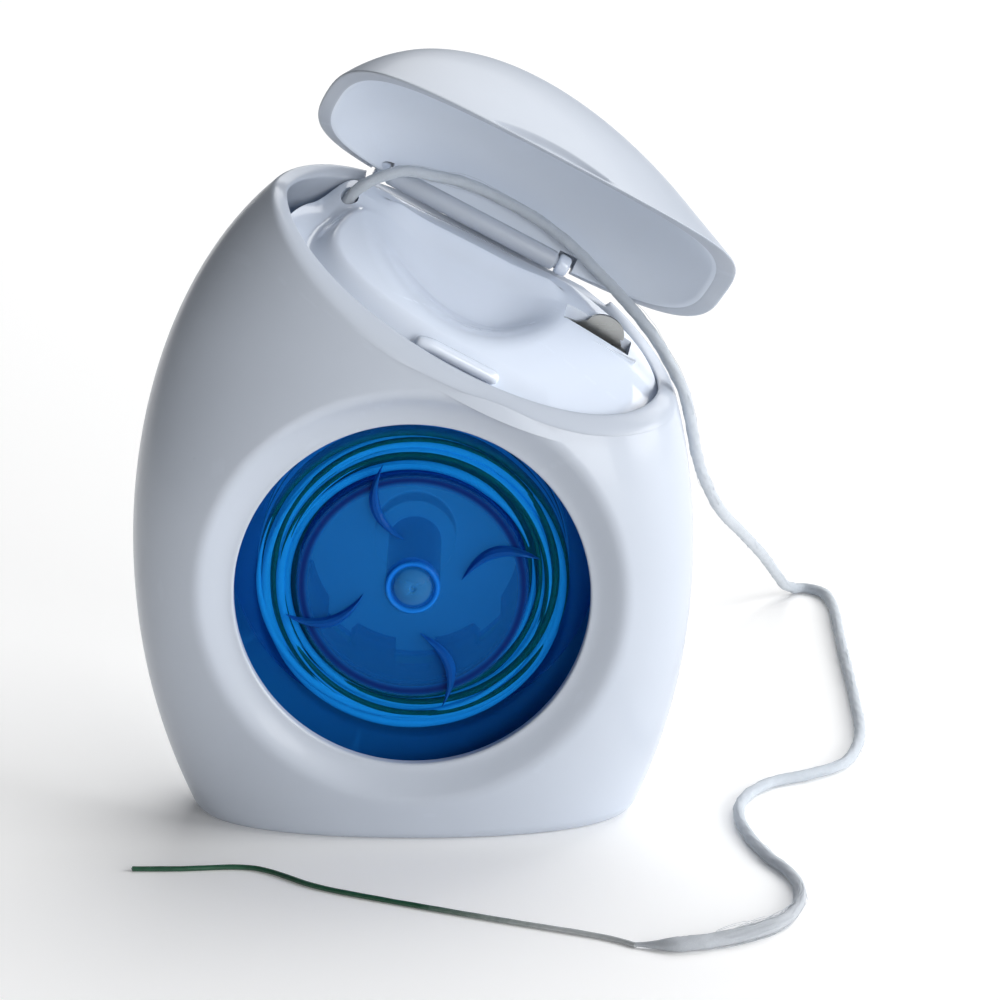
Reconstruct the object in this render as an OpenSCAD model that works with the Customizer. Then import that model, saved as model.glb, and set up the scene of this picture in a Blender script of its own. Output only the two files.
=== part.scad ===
// Floss dispenser with a hinged lid, a window and a spool that turns.
// It stands on its foot, front towards -Y. The origin is the middle of the foot's flat face.

/* [Case] */
// Width of the case at its widest section
body_w = 50.4; // [46:0.2:60]
// Thickness of the case from front to back
body_t = 23.6; // [22:0.2:30]
// Width of the case at the foot
foot_w = 39.4; // [35:0.2:44]
// Thickness of the case at the foot
foot_t = 17.2; // [15:0.2:20]
// Height of the widest section
belly_z = 25.8; // [23:0.2:29]
// Height of the closed dispenser
apex_z = 63.4; // [60:0.2:72]
// Wall thickness of the case and of the lid
wall = 1.4; // [1:0.1:1.8]
// Radius of the edge round the foot
foot_r = 1.2; // [0.6:0.1:1.6]
// Width of the bevel along each rim
rim_bevel = 0.3; // [0.1:0.05:0.45]
// Roundness of the front of a section, where 2 is an ellipse
front_power = 2.2; // [2:0.1:3]
// Roundness of the back of a section, which is flatter
back_power = 3.3; // [2:0.1:4]
// How much squarer the front is round the window
front_swell = 0.8; // [0:0.1:1]

/* [Mouth and lid] */
// Height of the parting line in the middle of the case
rim_z = 52.3; // [49:0.1:55]
// Slope of the parting line down to the right, in degrees
rim_slope = 28.5; // [20:0.5:34]
// How far the parting line sinks at 10 mm in front of the middle, and rises at 10 mm behind it
rim_sweep = 6.3; // [3:0.1:8]
// Gap between the rims of the closed lid and the case
lid_gap = 0.3; // [0.15:0.05:0.6]
// How far the lid stands open, in degrees
lid_open = 64; // [0:1:90]
// Depth of the thumb recess at the lid's front rim
thumb_d = 0.8; // [0.4:0.1:1.1]
// Length of the thumb recess along the rim
thumb_l = 12; // [8:0.5:16]

/* [Hinge] */
// Distance from the middle of the case back to the hinge axis
hinge_y = 7.5; // [6.8:0.1:8.2]
// Place of the middle of the hinge along the width
hinge_x = 5.3; // [3:0.1:7]
// Height of the hinge axis above the mouth's parting face
hinge_lift = 0.8; // [0.5:0.1:1.2]
// Length of the lid's knuckle
knuckle_l = 17; // [12:0.5:19]
// Thickness of the knuckle
knuckle_d = 1.8; // [1.6:0.1:2.2]
// Thickness of the stub pins at the knuckle's ends
stub_d = 1.2; // [0.9:0.1:1.4]
// Length of each stub pin
stub_l = 1.3; // [0.9:0.1:1.8]
// Radial play of everything that turns
run_fit = 0.06; // [0.03:0.01:0.09]

/* [Deck] */
// How far the deck lies below the mouth's parting line in the middle
deck_drop = 1.1; // [0.6:0.1:2]
// How much the deck rises for each millimetre towards the back
deck_tilt = 0.55; // [0.3:0.05:0.6]
// Height of the deck's crown
deck_crown = 1.2; // [0:0.1:2]
// Thickness of the deck
deck_t = 1.3; // [1:0.1:1.6]
// Play between the deck's edge and the wall of the case
deck_fit = 0.18; // [0.08:0.01:0.25]
// Depth of the finger scoop
scoop_d = 4; // [2:0.1:5]
// Length of the finger scoop along the slope
scoop_l = 18.6; // [14:0.2:21]
// Reach of the finger scoop from the hinge to its crest in front
scoop_w = 12.6; // [9:0.2:13.4]
// Turn of the finger scoop towards the high end of the mouth, in degrees
scoop_turn = 20; // [0:1:30]
// Depth of the moat between the crest and the high side of the wall
moat_d = 1.6; // [0:0.1:2.4]
// Width of the hole that the floss comes out of
exit_d = 2; // [1.6:0.1:2.6]
// Length of the snap rib along the deck's front edge
rib_l = 9.5; // [6:0.5:12]
// Thickness of the snap rib
rib_d = 1.3; // [0.9:0.1:1.6]

/* [Cutter] */
// Length of the cutter's slot
slot_l = 6.8; // [5.5:0.1:8]
// Width of the cutter's slot
slot_w = 2; // [1.6:0.1:2.6]
// Depth of the cutter's slot
slot_d = 1.6; // [1.2:0.1:2]
// Thickness of the blade
blade_t = 0.4; // [0.3:0.05:0.6]
// Height of the tooth above the deck
tooth_h = 1.5; // [1:0.1:2]

/* [Window] */
// Width of the window
window_d = 31.7; // [26:0.1:32.5]
// Height of the window's centre, which is also the spool's axis
window_z = 23.3; // [21.5:0.1:25]
// How far the window's edge lies behind the frontmost face
window_set = 3; // [2.4:0.1:3.4]
// Width of the dished ring round the window
window_flare = 3.13; // [2:0.1:3.6]
// Thickness of the window's edge
window_lip = 0.9; // [0.6:0.1:1.2]

/* [Spool] */
// Width of the spool's flanges
spool_d = 34; // [33:0.1:35]
// How far the spool's face lies behind the window's edge
spool_set = 2.8; // [2:0.1:3]
// Thickness of a flange
flange_t = 1.1; // [0.8:0.1:1.3]
// Gap between the two flanges
flange_gap = 10.1; // [8:0.1:10.5]
// Outer width of the spool's core
core_d = 20.6; // [18:0.1:22]
// Wall thickness of the core
core_wall = 0.8; // [0.6:0.1:1]
// Length of the notches in the core's rear end
notch_l = 7; // [4:0.5:8]
// Width of the notches
notch_w = 3.6; // [2.5:0.1:4.5]
// Number of notches
notch_n = 8; // [6:1:10]
// Width of the hub
hub_d = 4.9; // [4.6:0.1:6]
// Width of the spindle in the hub
spindle_d = 3.2; // [2.4:0.1:3.4]
// Number of finger fins on the spool's face
fin_n = 4; // [3:1:6]
// Height of a fin
fin_h = 0.9; // [0.5:0.1:1.1]
// Thickness of a fin at its middle
fin_t = 0.65; // [0.5:0.05:0.9]

/* [Shell joints] */
// Width of the bosses that join the two shells
boss_d = 4; // [3.4:0.1:4.4]
// Length of a boss in each shell
boss_l = 3.2; // [2.4:0.1:3.4]
// Width of the locating pins
pin_d = 1.8; // [1.4:0.1:2.2]

/* [Floss] */
// Width of the wound floss
yarn_d = 0.9; // [0.7:0.05:1]
// Outer width of the wound floss
wound_d = 28.4; // [26:0.1:30]
// Radius of the winding's rounded front shoulder
shoulder_r = 2.6; // [2.4:0.1:3]
// Width of the spongy part of the loose strand
strand_d = 1.1; // [0.9:0.05:1.2]
// Width of the stiff end of the strand
threader_d = 0.5; // [0.35:0.05:0.6]

/* [Hidden] */
$fn = 64;
eps = 0.01;

shell_white = "#eef0f4";
spool_blue = "#1565b8";
floss_green = "#1d5a4c";
floss_white = "#e4e6ea";

// Fullness of the case above its widest section, in front and at the back
front_fullness = 0.35;
back_fullness = 0.3;
// Distance above and below the window's centre over which the squarer front fades out
swell_reach = 22;
// Columns round a whole section and rows up a wall
columns = 48;
wall_rows = 12;
lid_rows = 9;

half_w = body_w / 2;
half_t = body_t / 2;
slope_rise = tan(rim_slope);
// Depths below the belly at which each profile would close to nothing
w_reach = belly_z / sqrt(1 - pow(foot_w / body_w, 2));
t_reach = belly_z / sqrt(1 - pow(foot_t / body_t, 2));

window_y = -half_t + window_set;
face_y = window_y + spool_set;
inner_y = face_y + flange_t;
rear_y = inner_y + flange_gap;
core_end_y = rear_y + flange_t + 0.8;
thrust_gap = 0.3;
spindle_base_y = core_end_y + thrust_gap;
soft_gap = 0.15;

hinge_z = parting(hinge_x, hinge_y) + hinge_lift;
ear_t = 1.2;
ear_gap = 0.15;
ear_d = 2.5;
ear_s = knuckle_l / 2 + ear_gap;
trough_r = 2.35;
trough_turn = -44;
trough_front = 12;
trough_back = 15;
ear_play = 0.35;

deck_x = 5;
deck_y = -0.5;
scoop_x = 5.2;
scoop_y = 6.1;
// Where the scoop's floor starts to rise to the hinge, and where it has risen
rise_from = 0;
rise_to = 6.5;
// Where the moat starts, as a share of the way to the wall, and the stretch over which it fades
moat_from = 0.55;
moat_end = 12;
moat_fade = 18;
exit_x = -5.6;
exit_y = 4.4;
rib_x = 3.9;
rib_y = -8;
slot_x = half_w - 8.8;
slot_y = 3.4;

// Route of the loose strand, chosen by hand: out of the deck, along the lid, over the rim and
// down behind the case, then forward over the surface that the case stands on
strand_route = [
    [-5.6, 4.4, 56.2], [-5.6, 4.4, 57.2], [-4.4, 4.5, 58.4], [-2.4, 4.8, 58.9], [-0.4, 5.8, 58.7],
    [1.7, 7, 57.8], [4.6, 8, 56.9], [7.6, 8.6, 55.4], [11, 8.4, 53.5], [14, 7.4, 51.4],
    [17.2, 5.6, 48.6], [19.6, 4, 46.3], [21.7, 2.4, 43.9], [23.1, 1.2, 41.7], [24.2, 0.6, 39.6],
    [24.9, 1.6, 36.6], [25.6, 4.6, 32.6], [26.6, 10, 28.4], [28.6, 20, 22.2], [31.4, 34, 15.4],
    [34.2, 47, 8.8], [36.4, 56, 3.6], [38.2, 60.4, 0.9], [40, 60.6, 0.55], [41.2, 56, 0.55],
    [41.8, 42, 0.55], [42.2, 28, 0.55], [42, 17.6, 0.55], [40.2, 10.4, 0.55], [36.6, 7, 0.55],
    [32.6, 4.6, 0.55], [30, 0, 0.55], [29.7, -5.6, 0.55], [31.3, -12.6, 0.55], [33.6, -18.4, 0.55],
    [34, -23.6, 0.55], [32.2, -28.8, 0.55], [28.4, -32.2, 0.55], [23.6, -34.2, 0.55],
    [19.4, -33.6, 0.55]
];
threader_route = [
    [19.4, -33.6, 0.3], [16.4, -31.6, 0.25], [7.6, -27.8, 0.25], [-0.4, -24.2, 0.25],
    [-8, -20.4, 0.25], [-12.6, -16.6, 0.25], [-15.4, -15.6, 0.25], [-20.6, -16, 0.25],
    [-24.8, -16, 0.25]
];
lead_route = [
    [-4.6, 0.6, 38.4], [-5.2, 1.6, 43.5], [-5.6, 3.2, 49.5], [-5.6, 4.4, 54.6], [-5.6, 4.4, 56.2]
];
route_step = 4;

function sign_power(v, p) = sign(v) * pow(abs(v), p);
function lerp(a, b, t) = a + (b - a) * t;

// Half width and half thickness of the case at height z, moved in by the inset
function half_width(z, inset) =
    let (reach = z > belly_z ? apex_z - belly_z - inset : w_reach)
    (half_w - inset) * sqrt(max(0, 1 - pow((z - belly_z) / reach, 2)));
function half_depth(z, inset, side) =
    let (reach = z > belly_z ? apex_z - belly_z - inset : t_reach)
    let (power = z <= belly_z ? 0.5 : side < 0 ? front_fullness : back_fullness)
    (half_t - inset) * pow(max(0, 1 - pow((z - belly_z) / reach, 2)), power);

// Point of the case's section at height z, in the direction of angle a
function front_roundness(z) =
    front_power + front_swell * pow(max(0, 1 - pow((z - window_z) / swell_reach, 2)), 2);
function section_point(a, z, inset) =
    let (c = cos(a), s = sin(a), p = 2 / (s < 0 ? front_roundness(z) : back_power))
    [half_width(z, inset) * sign_power(c, p), half_depth(z, inset, s) * sign_power(s, p), z];

// Heights of the parting face, and of the deck's edge, over a point of the plan
function middle_line(x) = rim_z - slope_rise * x;
function parting(x, y) = middle_line(x) + rim_sweep * y * abs(y) / 100;
function deck_plane(x, y) = middle_line(x) - deck_drop + deck_tilt * y;

// Height at which a column meets the parting face or the deck's plane, found by halving
function rim_height(a, inset, lift, low = belly_z - 1, high = undef, n = 26) =
    let (top = is_undef(high) ? apex_z - inset - eps : high, mid = (low + top) / 2)
    n == 0 ? mid :
    let (p = section_point(a, mid, inset))
    mid < parting(p.x, p.y) + lift ? rim_height(a, inset, lift, mid, top, n - 1)
                                   : rim_height(a, inset, lift, low, mid, n - 1);
function deck_height(a, inset, low = belly_z - 1, high = undef, n = 26) =
    let (top = is_undef(high) ? apex_z - inset - eps : high, mid = (low + top) / 2)
    n == 0 ? mid :
    let (p = section_point(a, mid, inset))
    mid < deck_plane(p.x, p.y) ? deck_height(a, inset, mid, top, n - 1)
                               : deck_height(a, inset, low, mid, n - 1);

// One column of a shell wall: up the outside, over the bevelled rim and down the inside
function wall_column(a) =
    let (rim_out = rim_height(a, 0, 0), rim_in = rim_height(a, wall, 0))
    let (bevel_out = rim_height(a, rim_bevel, 0), bevel_in = rim_height(a, wall - rim_bevel, 0))
    concat(
        [section_point(a, 0, foot_r), section_point(a, foot_r * 0.3, foot_r * 0.3)],
        [for (i = [0:wall_rows]) section_point(a, lerp(foot_r, rim_out - rim_bevel, i / wall_rows), 0)],
        [section_point(a, bevel_out, rim_bevel), section_point(a, bevel_in, wall - rim_bevel)],
        [for (i = [0:wall_rows]) section_point(a, lerp(rim_in - rim_bevel, wall, i / wall_rows), wall)]);

// Flat end of a half shell: a strip between the outer and the inner line of its first or last column
function seam_faces(first, rows, low, high) =
    let (outer = [for (i = [0:wall_rows + 3]) first + i])
    let (inner = [for (i = [0:wall_rows + 1]) first + rows - 1 - i])
    concat([[low, outer[0], high], [outer[0], outer[1], high], [outer[1], outer[2], high],
            [outer[2], inner[0], high]],
        [for (i = [0:wall_rows]) each [[outer[i + 2], outer[i + 3], inner[i]],
                                       [outer[i + 3], inner[i + 1], inner[i]]]]);
function flipped(faces) = [for (f = faces) [f[0], f[2], f[1]]];

// Half of the case's shell, from angle start through half a turn, floor included
module half_shell(start) {
    steps = columns / 2;
    grid = [for (j = [0:steps]) wall_column(start + j * 180 / steps)];
    rows = len(grid[0]);
    low = (steps + 1) * rows;
    high = low + 1;
    points = concat([for (column = grid) each column], [[0, 0, 0], [0, 0, wall]]);
    faces = concat(
        [for (j = [0:steps - 1], i = [0:rows - 2])
            let (a = j * rows + i, b = a + rows) each [[a, b + 1, b], [a, a + 1, b + 1]]],
        [for (j = [0:steps - 1]) [j * rows + rows - 1, high, (j + 1) * rows + rows - 1]],
        [for (j = [0:steps - 1]) [low, j * rows, (j + 1) * rows]],
        flipped(seam_faces(0, rows, low, high)),
        seam_faces(steps * rows, rows, low, high));
    polyhedron(points, faces, convexity = 6);
}

// The same half as a solid that ends in the middle of the wall, to trim what is added inside
module half_core(start) {
    steps = columns / 2;
    inset = wall / 2;
    grid = [for (j = [0:steps]) let (a = start + j * 180 / steps, top = rim_height(a, inset, -2))
        [for (i = [0:wall_rows]) section_point(a, lerp(wall / 2, top, i / wall_rows), inset)]];
    rows = len(grid[0]);
    low = (steps + 1) * rows;
    points = concat([for (column = grid) each column], [[0, 0, wall / 2], [0, 0, rim_z - 2]]);
    last = steps * rows;
    faces = concat(
        [for (j = [0:steps - 1], i = [0:rows - 2])
            let (a = j * rows + i, b = a + rows) each [[a, b + 1, b], [a, a + 1, b + 1]]],
        [for (j = [0:steps - 1]) [j * rows + rows - 1, low + 1, (j + 1) * rows + rows - 1]],
        [for (j = [0:steps - 1]) [low, j * rows, (j + 1) * rows]],
        [for (i = [0:rows - 2]) [low, i + 1, i]], [[low, low + 1, rows - 1]],
        [for (i = [0:rows - 2]) [low, last + i, last + i + 1]], [[low, last + rows - 1, low + 1]]);
    polyhedron(points, faces, convexity = 6);
}

// Skin from an outer set of rings to its top point, and back along an inner set to its rim
module ring_skin(outer, top, inner, bottom) {
    n = len(outer[0]);
    m = len(outer);
    k = len(inner);
    top_i = m * n;
    start = top_i + 1;
    bottom_i = start + k * n;
    points = concat([for (ring = outer) each ring], [top], [for (ring = inner) each ring], [bottom]);
    faces = concat(
        [for (i = [0:m - 2], j = [0:n - 1])
            let (a = i * n + j, b = i * n + (j + 1) % n) each [[a, b + n, b], [a, a + n, b + n]]],
        [for (j = [0:n - 1]) [(m - 1) * n + j, top_i, (m - 1) * n + (j + 1) % n]],
        [for (j = [0:n - 1]) [bottom_i, start + j, start + (j + 1) % n]],
        [for (i = [0:k - 2], j = [0:n - 1])
            let (a = start + i * n + j, b = start + i * n + (j + 1) % n)
            each [[a, b + n, b], [a, a + n, b + n]]],
        [for (j = [0:n - 1])
            let (a = start + (k - 1) * n + j, b = start + (k - 1) * n + (j + 1) % n)
            each [[a, (j + 1) % n, b], [a, j, (j + 1) % n]]]);
    polyhedron(points, faces, convexity = 8);
}

// Depths of the finger scoop and the moat, and height of the deck, over a point of the plan
function smooth(t) = let (u = min(1, max(0, t))) u * u * (3 - 2 * u);
function scoop(x, y) =
    let (dx = x - scoop_x, dy = y - scoop_y)
    let (s = (dx * cos(scoop_turn) - dy * sin(scoop_turn)) / (scoop_l / 2))
    let (t = (dy * cos(scoop_turn) + dx * sin(scoop_turn)) / scoop_w)
    scoop_d * pow(max(0, 1 - s * s - t * t), 0.75)
        * (1 - 0.9 * smooth((y - rise_from) / (rise_to - rise_from)));
function moat(x, r) = moat_d * smooth((r - moat_from) / (1 - moat_from))
    * min(1, max(0, (moat_end - x) / moat_fade));
function deck_top(x, y, r) = deck_plane(x, y) + deck_crown * (1 - r * r) - scoop(x, y) - moat(x, r);

function deck_ring(r, drop) = [for (j = [0:columns - 1])
    let (a = j * 360 / columns, edge = section_point(a, deck_height(a, wall + deck_fit), wall + deck_fit))
    let (x = lerp(deck_x, edge.x, r), y = lerp(deck_y, edge.y, r)) [x, y, deck_top(x, y, r) - drop]];

module deck_plate() {
    centre = [deck_x, deck_y, deck_top(deck_x, deck_y, 0)];
    ring_skin([for (r = [1, 0.97, 0.91, 0.84, 0.77, 0.7, 0.64, 0.58, 0.52, 0.46, 0.36, 0.22]) deck_ring(r, 0)],
              centre, [for (r = [0.25, 0.45, 0.65, 0.82, 1]) deck_ring(r, deck_t)], centre - [0, 0, deck_t]);
}

// Frames of reference: the spool's axis with its face to the front, the hinge axis and the deck
module facing_front(y) {
    translate([0, y, window_z]) rotate([90, 0, 0]) children();
}
module along_hinge() {
    translate([hinge_x, hinge_y, hinge_z]) rotate([0, rim_slope, 0]) children();
}
module hinge_cylinder(from, to, r) {
    translate([from, 0, 0]) rotate([0, 90, 0]) cylinder(h = to - from, r = r);
}
module turned_on_hinge(angle) {
    along_hinge() rotate([angle, 0, 0]) rotate([0, -rim_slope, 0])
        translate([-hinge_x, -hinge_y, -hinge_z]) children();
}
module on_deck(x, y) {
    translate([x, y, deck_plane(x, y)]) rotate([0, rim_slope, 0]) children();
}

// Clear way round the knuckle or the ears
module knuckle_trough(d) {
    along_hinge() hinge_cylinder(-trough_front, trough_back, d / 2 + ear_play);
}

// Clear way for the lid's back edge, which turns down behind the knuckle
module rim_trough() {
    along_hinge() rotate([90, 0, 90]) translate([0, 0, -trough_front])
        linear_extrude(trough_front + trough_back) polygon(concat([[-0.3, 0]],
            [for (i = [0:12]) let (a = lerp(trough_turn, 110, i / 12)) trough_r * [cos(a), sin(a)]]));
}

// Places of the bosses, each one against the side wall, with their ends just below the seam
boss_heights = [10, 34];
seam_relief = 0.1;
function boss_x(z) = half_width(z, wall) - boss_d / 2 + 0.3;
module at_bosses() {
    for (z = boss_heights, side = [-1, 1]) translate([side * boss_x(z), 0, z]) children();
}

// Dished cut round the window, from its edge out to the face of the case
module window_cut() {
    r = window_d / 2;
    facing_front(window_y) rotate_extrude($fn = 96) polygon(concat(
        [[0, -window_lip - 1], [r, -window_lip - 1], [r, 0]],
        [for (t = [0.25:0.25:1]) [r + window_flare * sin(90 * t), window_set * (1 - cos(90 * t))]],
        [[r + window_flare + 1, window_set + 2], [0, window_set + 2]]));
}

module window_ring() {
    r = window_d / 2;
    intersection() {
        half_core(180);
        facing_front(window_y + window_lip) rotate_extrude($fn = 96) polygon([
            [r - 0.5, 0], [r + 1.2, 0], [r + window_flare + 0.6, 1.9],
            [r + window_flare + 0.6, half_t], [r - 0.5, half_t]]);
    }
}

module front_shell() {
    color(shell_white) difference() {
        union() {
            half_shell(180);
            window_ring();
            at_bosses() rotate([90, 0, 0]) translate([0, 0, seam_relief])
                cylinder(h = boss_l, d = boss_d, $fn = 32);
        }
        window_cut();
        at_bosses() rotate([90, 0, 0]) translate([0, 0, seam_relief / 2])
            cylinder(h = boss_l - 0.5, d = pin_d + 2 * run_fit, $fn = 32);
    }
}

module rear_shell() {
    color(shell_white) {
        difference() {
            half_shell(0);
            knuckle_trough(ear_d);
            rim_trough();
        }
        at_bosses() rotate([-90, 0, 0]) translate([0, 0, seam_relief])
            cylinder(h = boss_l, d = boss_d, $fn = 32);
        at_bosses() rotate([90, 0, 0]) translate([0, 0, -1]) cylinder(h = boss_l, d = pin_d, $fn = 32);
        spindle();
    }
}

// Post that the spool turns on, with the shoulder that it runs against
module spindle() {
    length = spindle_base_y - inner_y - 0.3;
    facing_front(half_t - wall / 2) cylinder(h = half_t - wall / 2 - spindle_base_y, d = hub_d + 2.6);
    facing_front(spindle_base_y + eps) cylinder(h = length, d = spindle_d);
}

module deck() {
    color(shell_white) {
        difference() {
            union() {
                deck_plate();
                translate([exit_x, exit_y, deck_plane(exit_x, exit_y) - deck_t])
                    cylinder(h = deck_t + 0.1, d = exit_d + 1.6);
                on_deck(slot_x, slot_y) translate([-slot_l / 2 - 0.8, -slot_w / 2 - 0.8, -slot_d - 0.6])
                    cube([slot_l + 1.6, slot_w + 1.6, slot_d]);
            }
            knuckle_trough(knuckle_d);
            translate([exit_x, exit_y, deck_plane(exit_x, exit_y) - deck_t - 1])
                cylinder(h = deck_t + 3, d = exit_d);
            on_deck(slot_x, slot_y) translate([-slot_l / 2, -slot_w / 2, -slot_d])
                cube([slot_l, slot_w, slot_d + 3]);
        }
        hinge_ears();
        snap_rib();
    }
}

module hinge_ears() {
    along_hinge() for (side = [-1, 1]) difference() {
        union() {
            hinge_cylinder(min(side * ear_s, side * (ear_s + ear_t)),
                           max(side * ear_s, side * (ear_s + ear_t)), ear_d / 2);
            translate([side * (ear_s + ear_t / 2) - ear_t / 2, -ear_d / 2 - 0.4, -ear_d / 2 - 1.4])
                cube([ear_t, ear_d / 2 - 0.4, ear_d / 2 + 1]);
        }
        hinge_cylinder(-ear_s - ear_t - 1, ear_s + ear_t + 1, stub_d / 2 + run_fit);
    }
}

module snap_rib() {
    on_deck(rib_x, rib_y) translate([-rib_l / 2 + rib_d / 2, 0, rib_d / 4]) {
        rotate([0, 90, 0]) cylinder(h = rib_l - rib_d, d = rib_d, $fn = 32);
        sphere(d = rib_d, $fn = 32);
        translate([rib_l - rib_d, 0, 0]) sphere(d = rib_d, $fn = 32);
    }
}

// Rings of the lid's skin, from the rim up to the crown
function lid_ring(t, inset) = [for (j = [0:columns - 1])
    let (a = j * 360 / columns, low = rim_height(a, inset, lid_gap), high = apex_z - inset)
    section_point(a, low + (high - low) * (1 - pow(1 - t, 2)), inset)];

module lid_shell() {
    steps = [for (i = [0:lid_rows - 1]) i / lid_rows];
    ring_skin([for (t = steps) lid_ring(t, 0)], [0, 0, apex_z],
              [for (i = [lid_rows - 1:-1:0]) lid_ring(i / lid_rows, wall)], [0, 0, apex_z - wall]);
}

// Round bite that makes the thumb recess at the lid's front rim
module thumb_bite() {
    r = (thumb_l * thumb_l / 4 + thumb_d * thumb_d) / (2 * thumb_d);
    x = 6.5;
    z = parting(x, -half_t * 0.85);
    translate([x, -half_depth(z, 0, -1) * 0.97 - r + thumb_d, z]) sphere(r = r, $fn = 96);
}

module lid() {
    color(shell_white) turned_on_hinge(-lid_open) {
        difference() {
            lid_shell();
            thumb_bite();
            along_hinge() for (side = [-1, 1])
                hinge_cylinder(min(side * (ear_s - ear_gap), side * (ear_s + ear_t + ear_play)),
                               max(side * (ear_s - ear_gap), side * (ear_s + ear_t + ear_play)),
                               ear_d / 2 + ear_play);
        }
        along_hinge() {
            hinge_cylinder(-knuckle_l / 2, knuckle_l / 2, knuckle_d / 2);
            hinge_cylinder(-knuckle_l / 2 - stub_l, knuckle_l / 2 + stub_l, stub_d / 2);
        }
    }
}

// Blade pressed into its slot, with a domed tooth and a notch that catches the floss
module cutter_blade() {
    half = slot_l / 2 - 0.1;
    color("#8d9298") on_deck(slot_x, slot_y)
        translate([0, slot_w / 2 - 0.1, 0]) rotate([90, 0, 0]) linear_extrude(blade_t) polygon(concat(
            [[-half, -slot_d], [half, -slot_d], [half, -0.4], [half - 1, -0.2], [half - 1.2, 0.3]],
            [for (a = [0:15:165]) [0.7 + 1.9 * cos(a), 0.3 + tooth_h * sin(a)]],
            [[-half + 1.2, -0.1], [-half, -0.3]]));
}

// One curved fin, as the space between two bows that share their ends
function fin_bow(bulge) =
    let (near = [4.5 * cos(7.8), 4.5 * sin(7.8)], far = [11.5 * cos(12.5), 11.5 * sin(12.5)])
    let (along = (far - near) / norm(far - near), across = [-along.y, along.x])
    [for (t = [0:0.125:1]) lerp(near, far, t) + across * bulge * 4 * t * (1 - t)];
function reversed(list) = [for (i = [len(list) - 1:-1:0]) list[i]];

module spool_wheel() {
    r = core_d / 2;
    inner_bow = fin_bow(1.35);
    outer_bow = reversed(fin_bow(1.35 + fin_t));
    color(spool_blue, 0.8) {
        difference() {
            union() {
                facing_front(inner_y) cylinder(h = flange_t, d = spool_d, $fn = 96);
                facing_front(core_end_y) cylinder(h = core_end_y - inner_y + eps, d = hub_d);
            }
            facing_front(core_end_y + 1)
                cylinder(h = core_end_y - inner_y + 1, d = spindle_d + 2 * run_fit);
        }
        difference() {
            facing_front(core_end_y) cylinder(h = core_end_y - inner_y + eps, r = r);
            facing_front(core_end_y + 1) cylinder(h = core_end_y - inner_y + 3, r = r - core_wall);
            facing_front(core_end_y + 1) for (i = [0:notch_n - 1]) rotate([0, 0, i * 360 / notch_n])
                translate([0, -notch_w / 2, 0]) cube([core_d, notch_w, notch_l + 1]);
        }
        for (i = [0:fin_n - 1]) facing_front(face_y + eps) rotate([0, 0, i * 360 / fin_n])
            linear_extrude(fin_h) polygon(concat(inner_bow, [for (i = [1:7]) outer_bow[i]]));
        facing_front(face_y + eps) rotate_extrude() polygon([
            [0, 0], [hub_d / 2, 0], [hub_d / 2, 0.3], [hub_d / 2 - 0.3, 0.45], [hub_d / 2 - 0.6, 0.3],
            [1.4, 0.6], [0.8, 0.75], [0, 0.8]]);
    }
}

module spool_flange() {
    color(spool_blue, 0.8) difference() {
        facing_front(rear_y + flange_t) cylinder(h = flange_t, d = spool_d, $fn = 96);
        facing_front(rear_y + flange_t + 1) cylinder(h = flange_t + 2, d = core_d + 2 * run_fit);
    }
}

// Inner layers of the wound floss
module floss_core() {
    inset = yarn_d / 2 + soft_gap;
    bend = shoulder_r - inset;
    height = rear_y - soft_gap - face_y0 - inset;
    color(floss_green) facing_front(rear_y - soft_gap) rotate_extrude($fn = 96) polygon(concat(
        [[core_d / 2 + soft_gap, 0], [wind_r1 - inset, 0]],
        [for (a = [0:15:90]) [wind_r1 - shoulder_r + bend * cos(a), height - bend + bend * sin(a)]],
        [[core_d / 2 + soft_gap, height]]));
}

// Outer layer: one tube that winds over the front shoulder and then back along the drum
face_y0 = inner_y + soft_gap + yarn_d / 2;
wind_r0 = core_d / 2 + soft_gap + yarn_d / 2;
wind_r1 = wound_d / 2 - yarn_d / 2;
wind_pitch = yarn_d + 0.46;
wind_steps = 24;
wind_face = max(0, wind_r1 - shoulder_r - wind_r0);
wind_arc = shoulder_r * PI / 2;
wind_drum = flange_gap - 2 * soft_gap - yarn_d - shoulder_r;
wind_count = floor((wind_face + wind_arc + wind_drum) / wind_pitch * wind_steps);
function wind_profile(s) =
    s < wind_face ? [wind_r0 + s, face_y0] :
    s < wind_face + wind_arc ?
        let (a = (s - wind_face) / shoulder_r * 180 / PI)
        [wind_r1 - shoulder_r * (1 - sin(a)), face_y0 + shoulder_r * (1 - cos(a))] :
    [wind_r1, face_y0 + shoulder_r + s - wind_face - wind_arc];
function wind_point(i) =
    let (a = 360 * i / wind_steps + 60, p = wind_profile(i / wind_steps * wind_pitch))
    [p[0] * cos(a), p[1], window_z + p[0] * sin(a)];
wind_path = [for (i = [0:wind_count]) wind_point(i)];
wind_gap = min([for (i = [0:wind_count - wind_steps * 3 / 4])
    each [for (k = [i + wind_steps * 3 / 4:min(wind_count, i + wind_steps * 5 / 4)])
        norm(wind_path[i] - wind_path[k]) - yarn_d]]);
echo(least_gap_between_loops = wind_gap);

function unit(v) = v / norm(v);
function tangents(path) = [for (i = [0:len(path) - 1])
    unit(path[min(len(path) - 1, i + 1)] - path[max(0, i - 1)])];
function level(n, t) = unit(n - t * (n * t));

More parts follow.
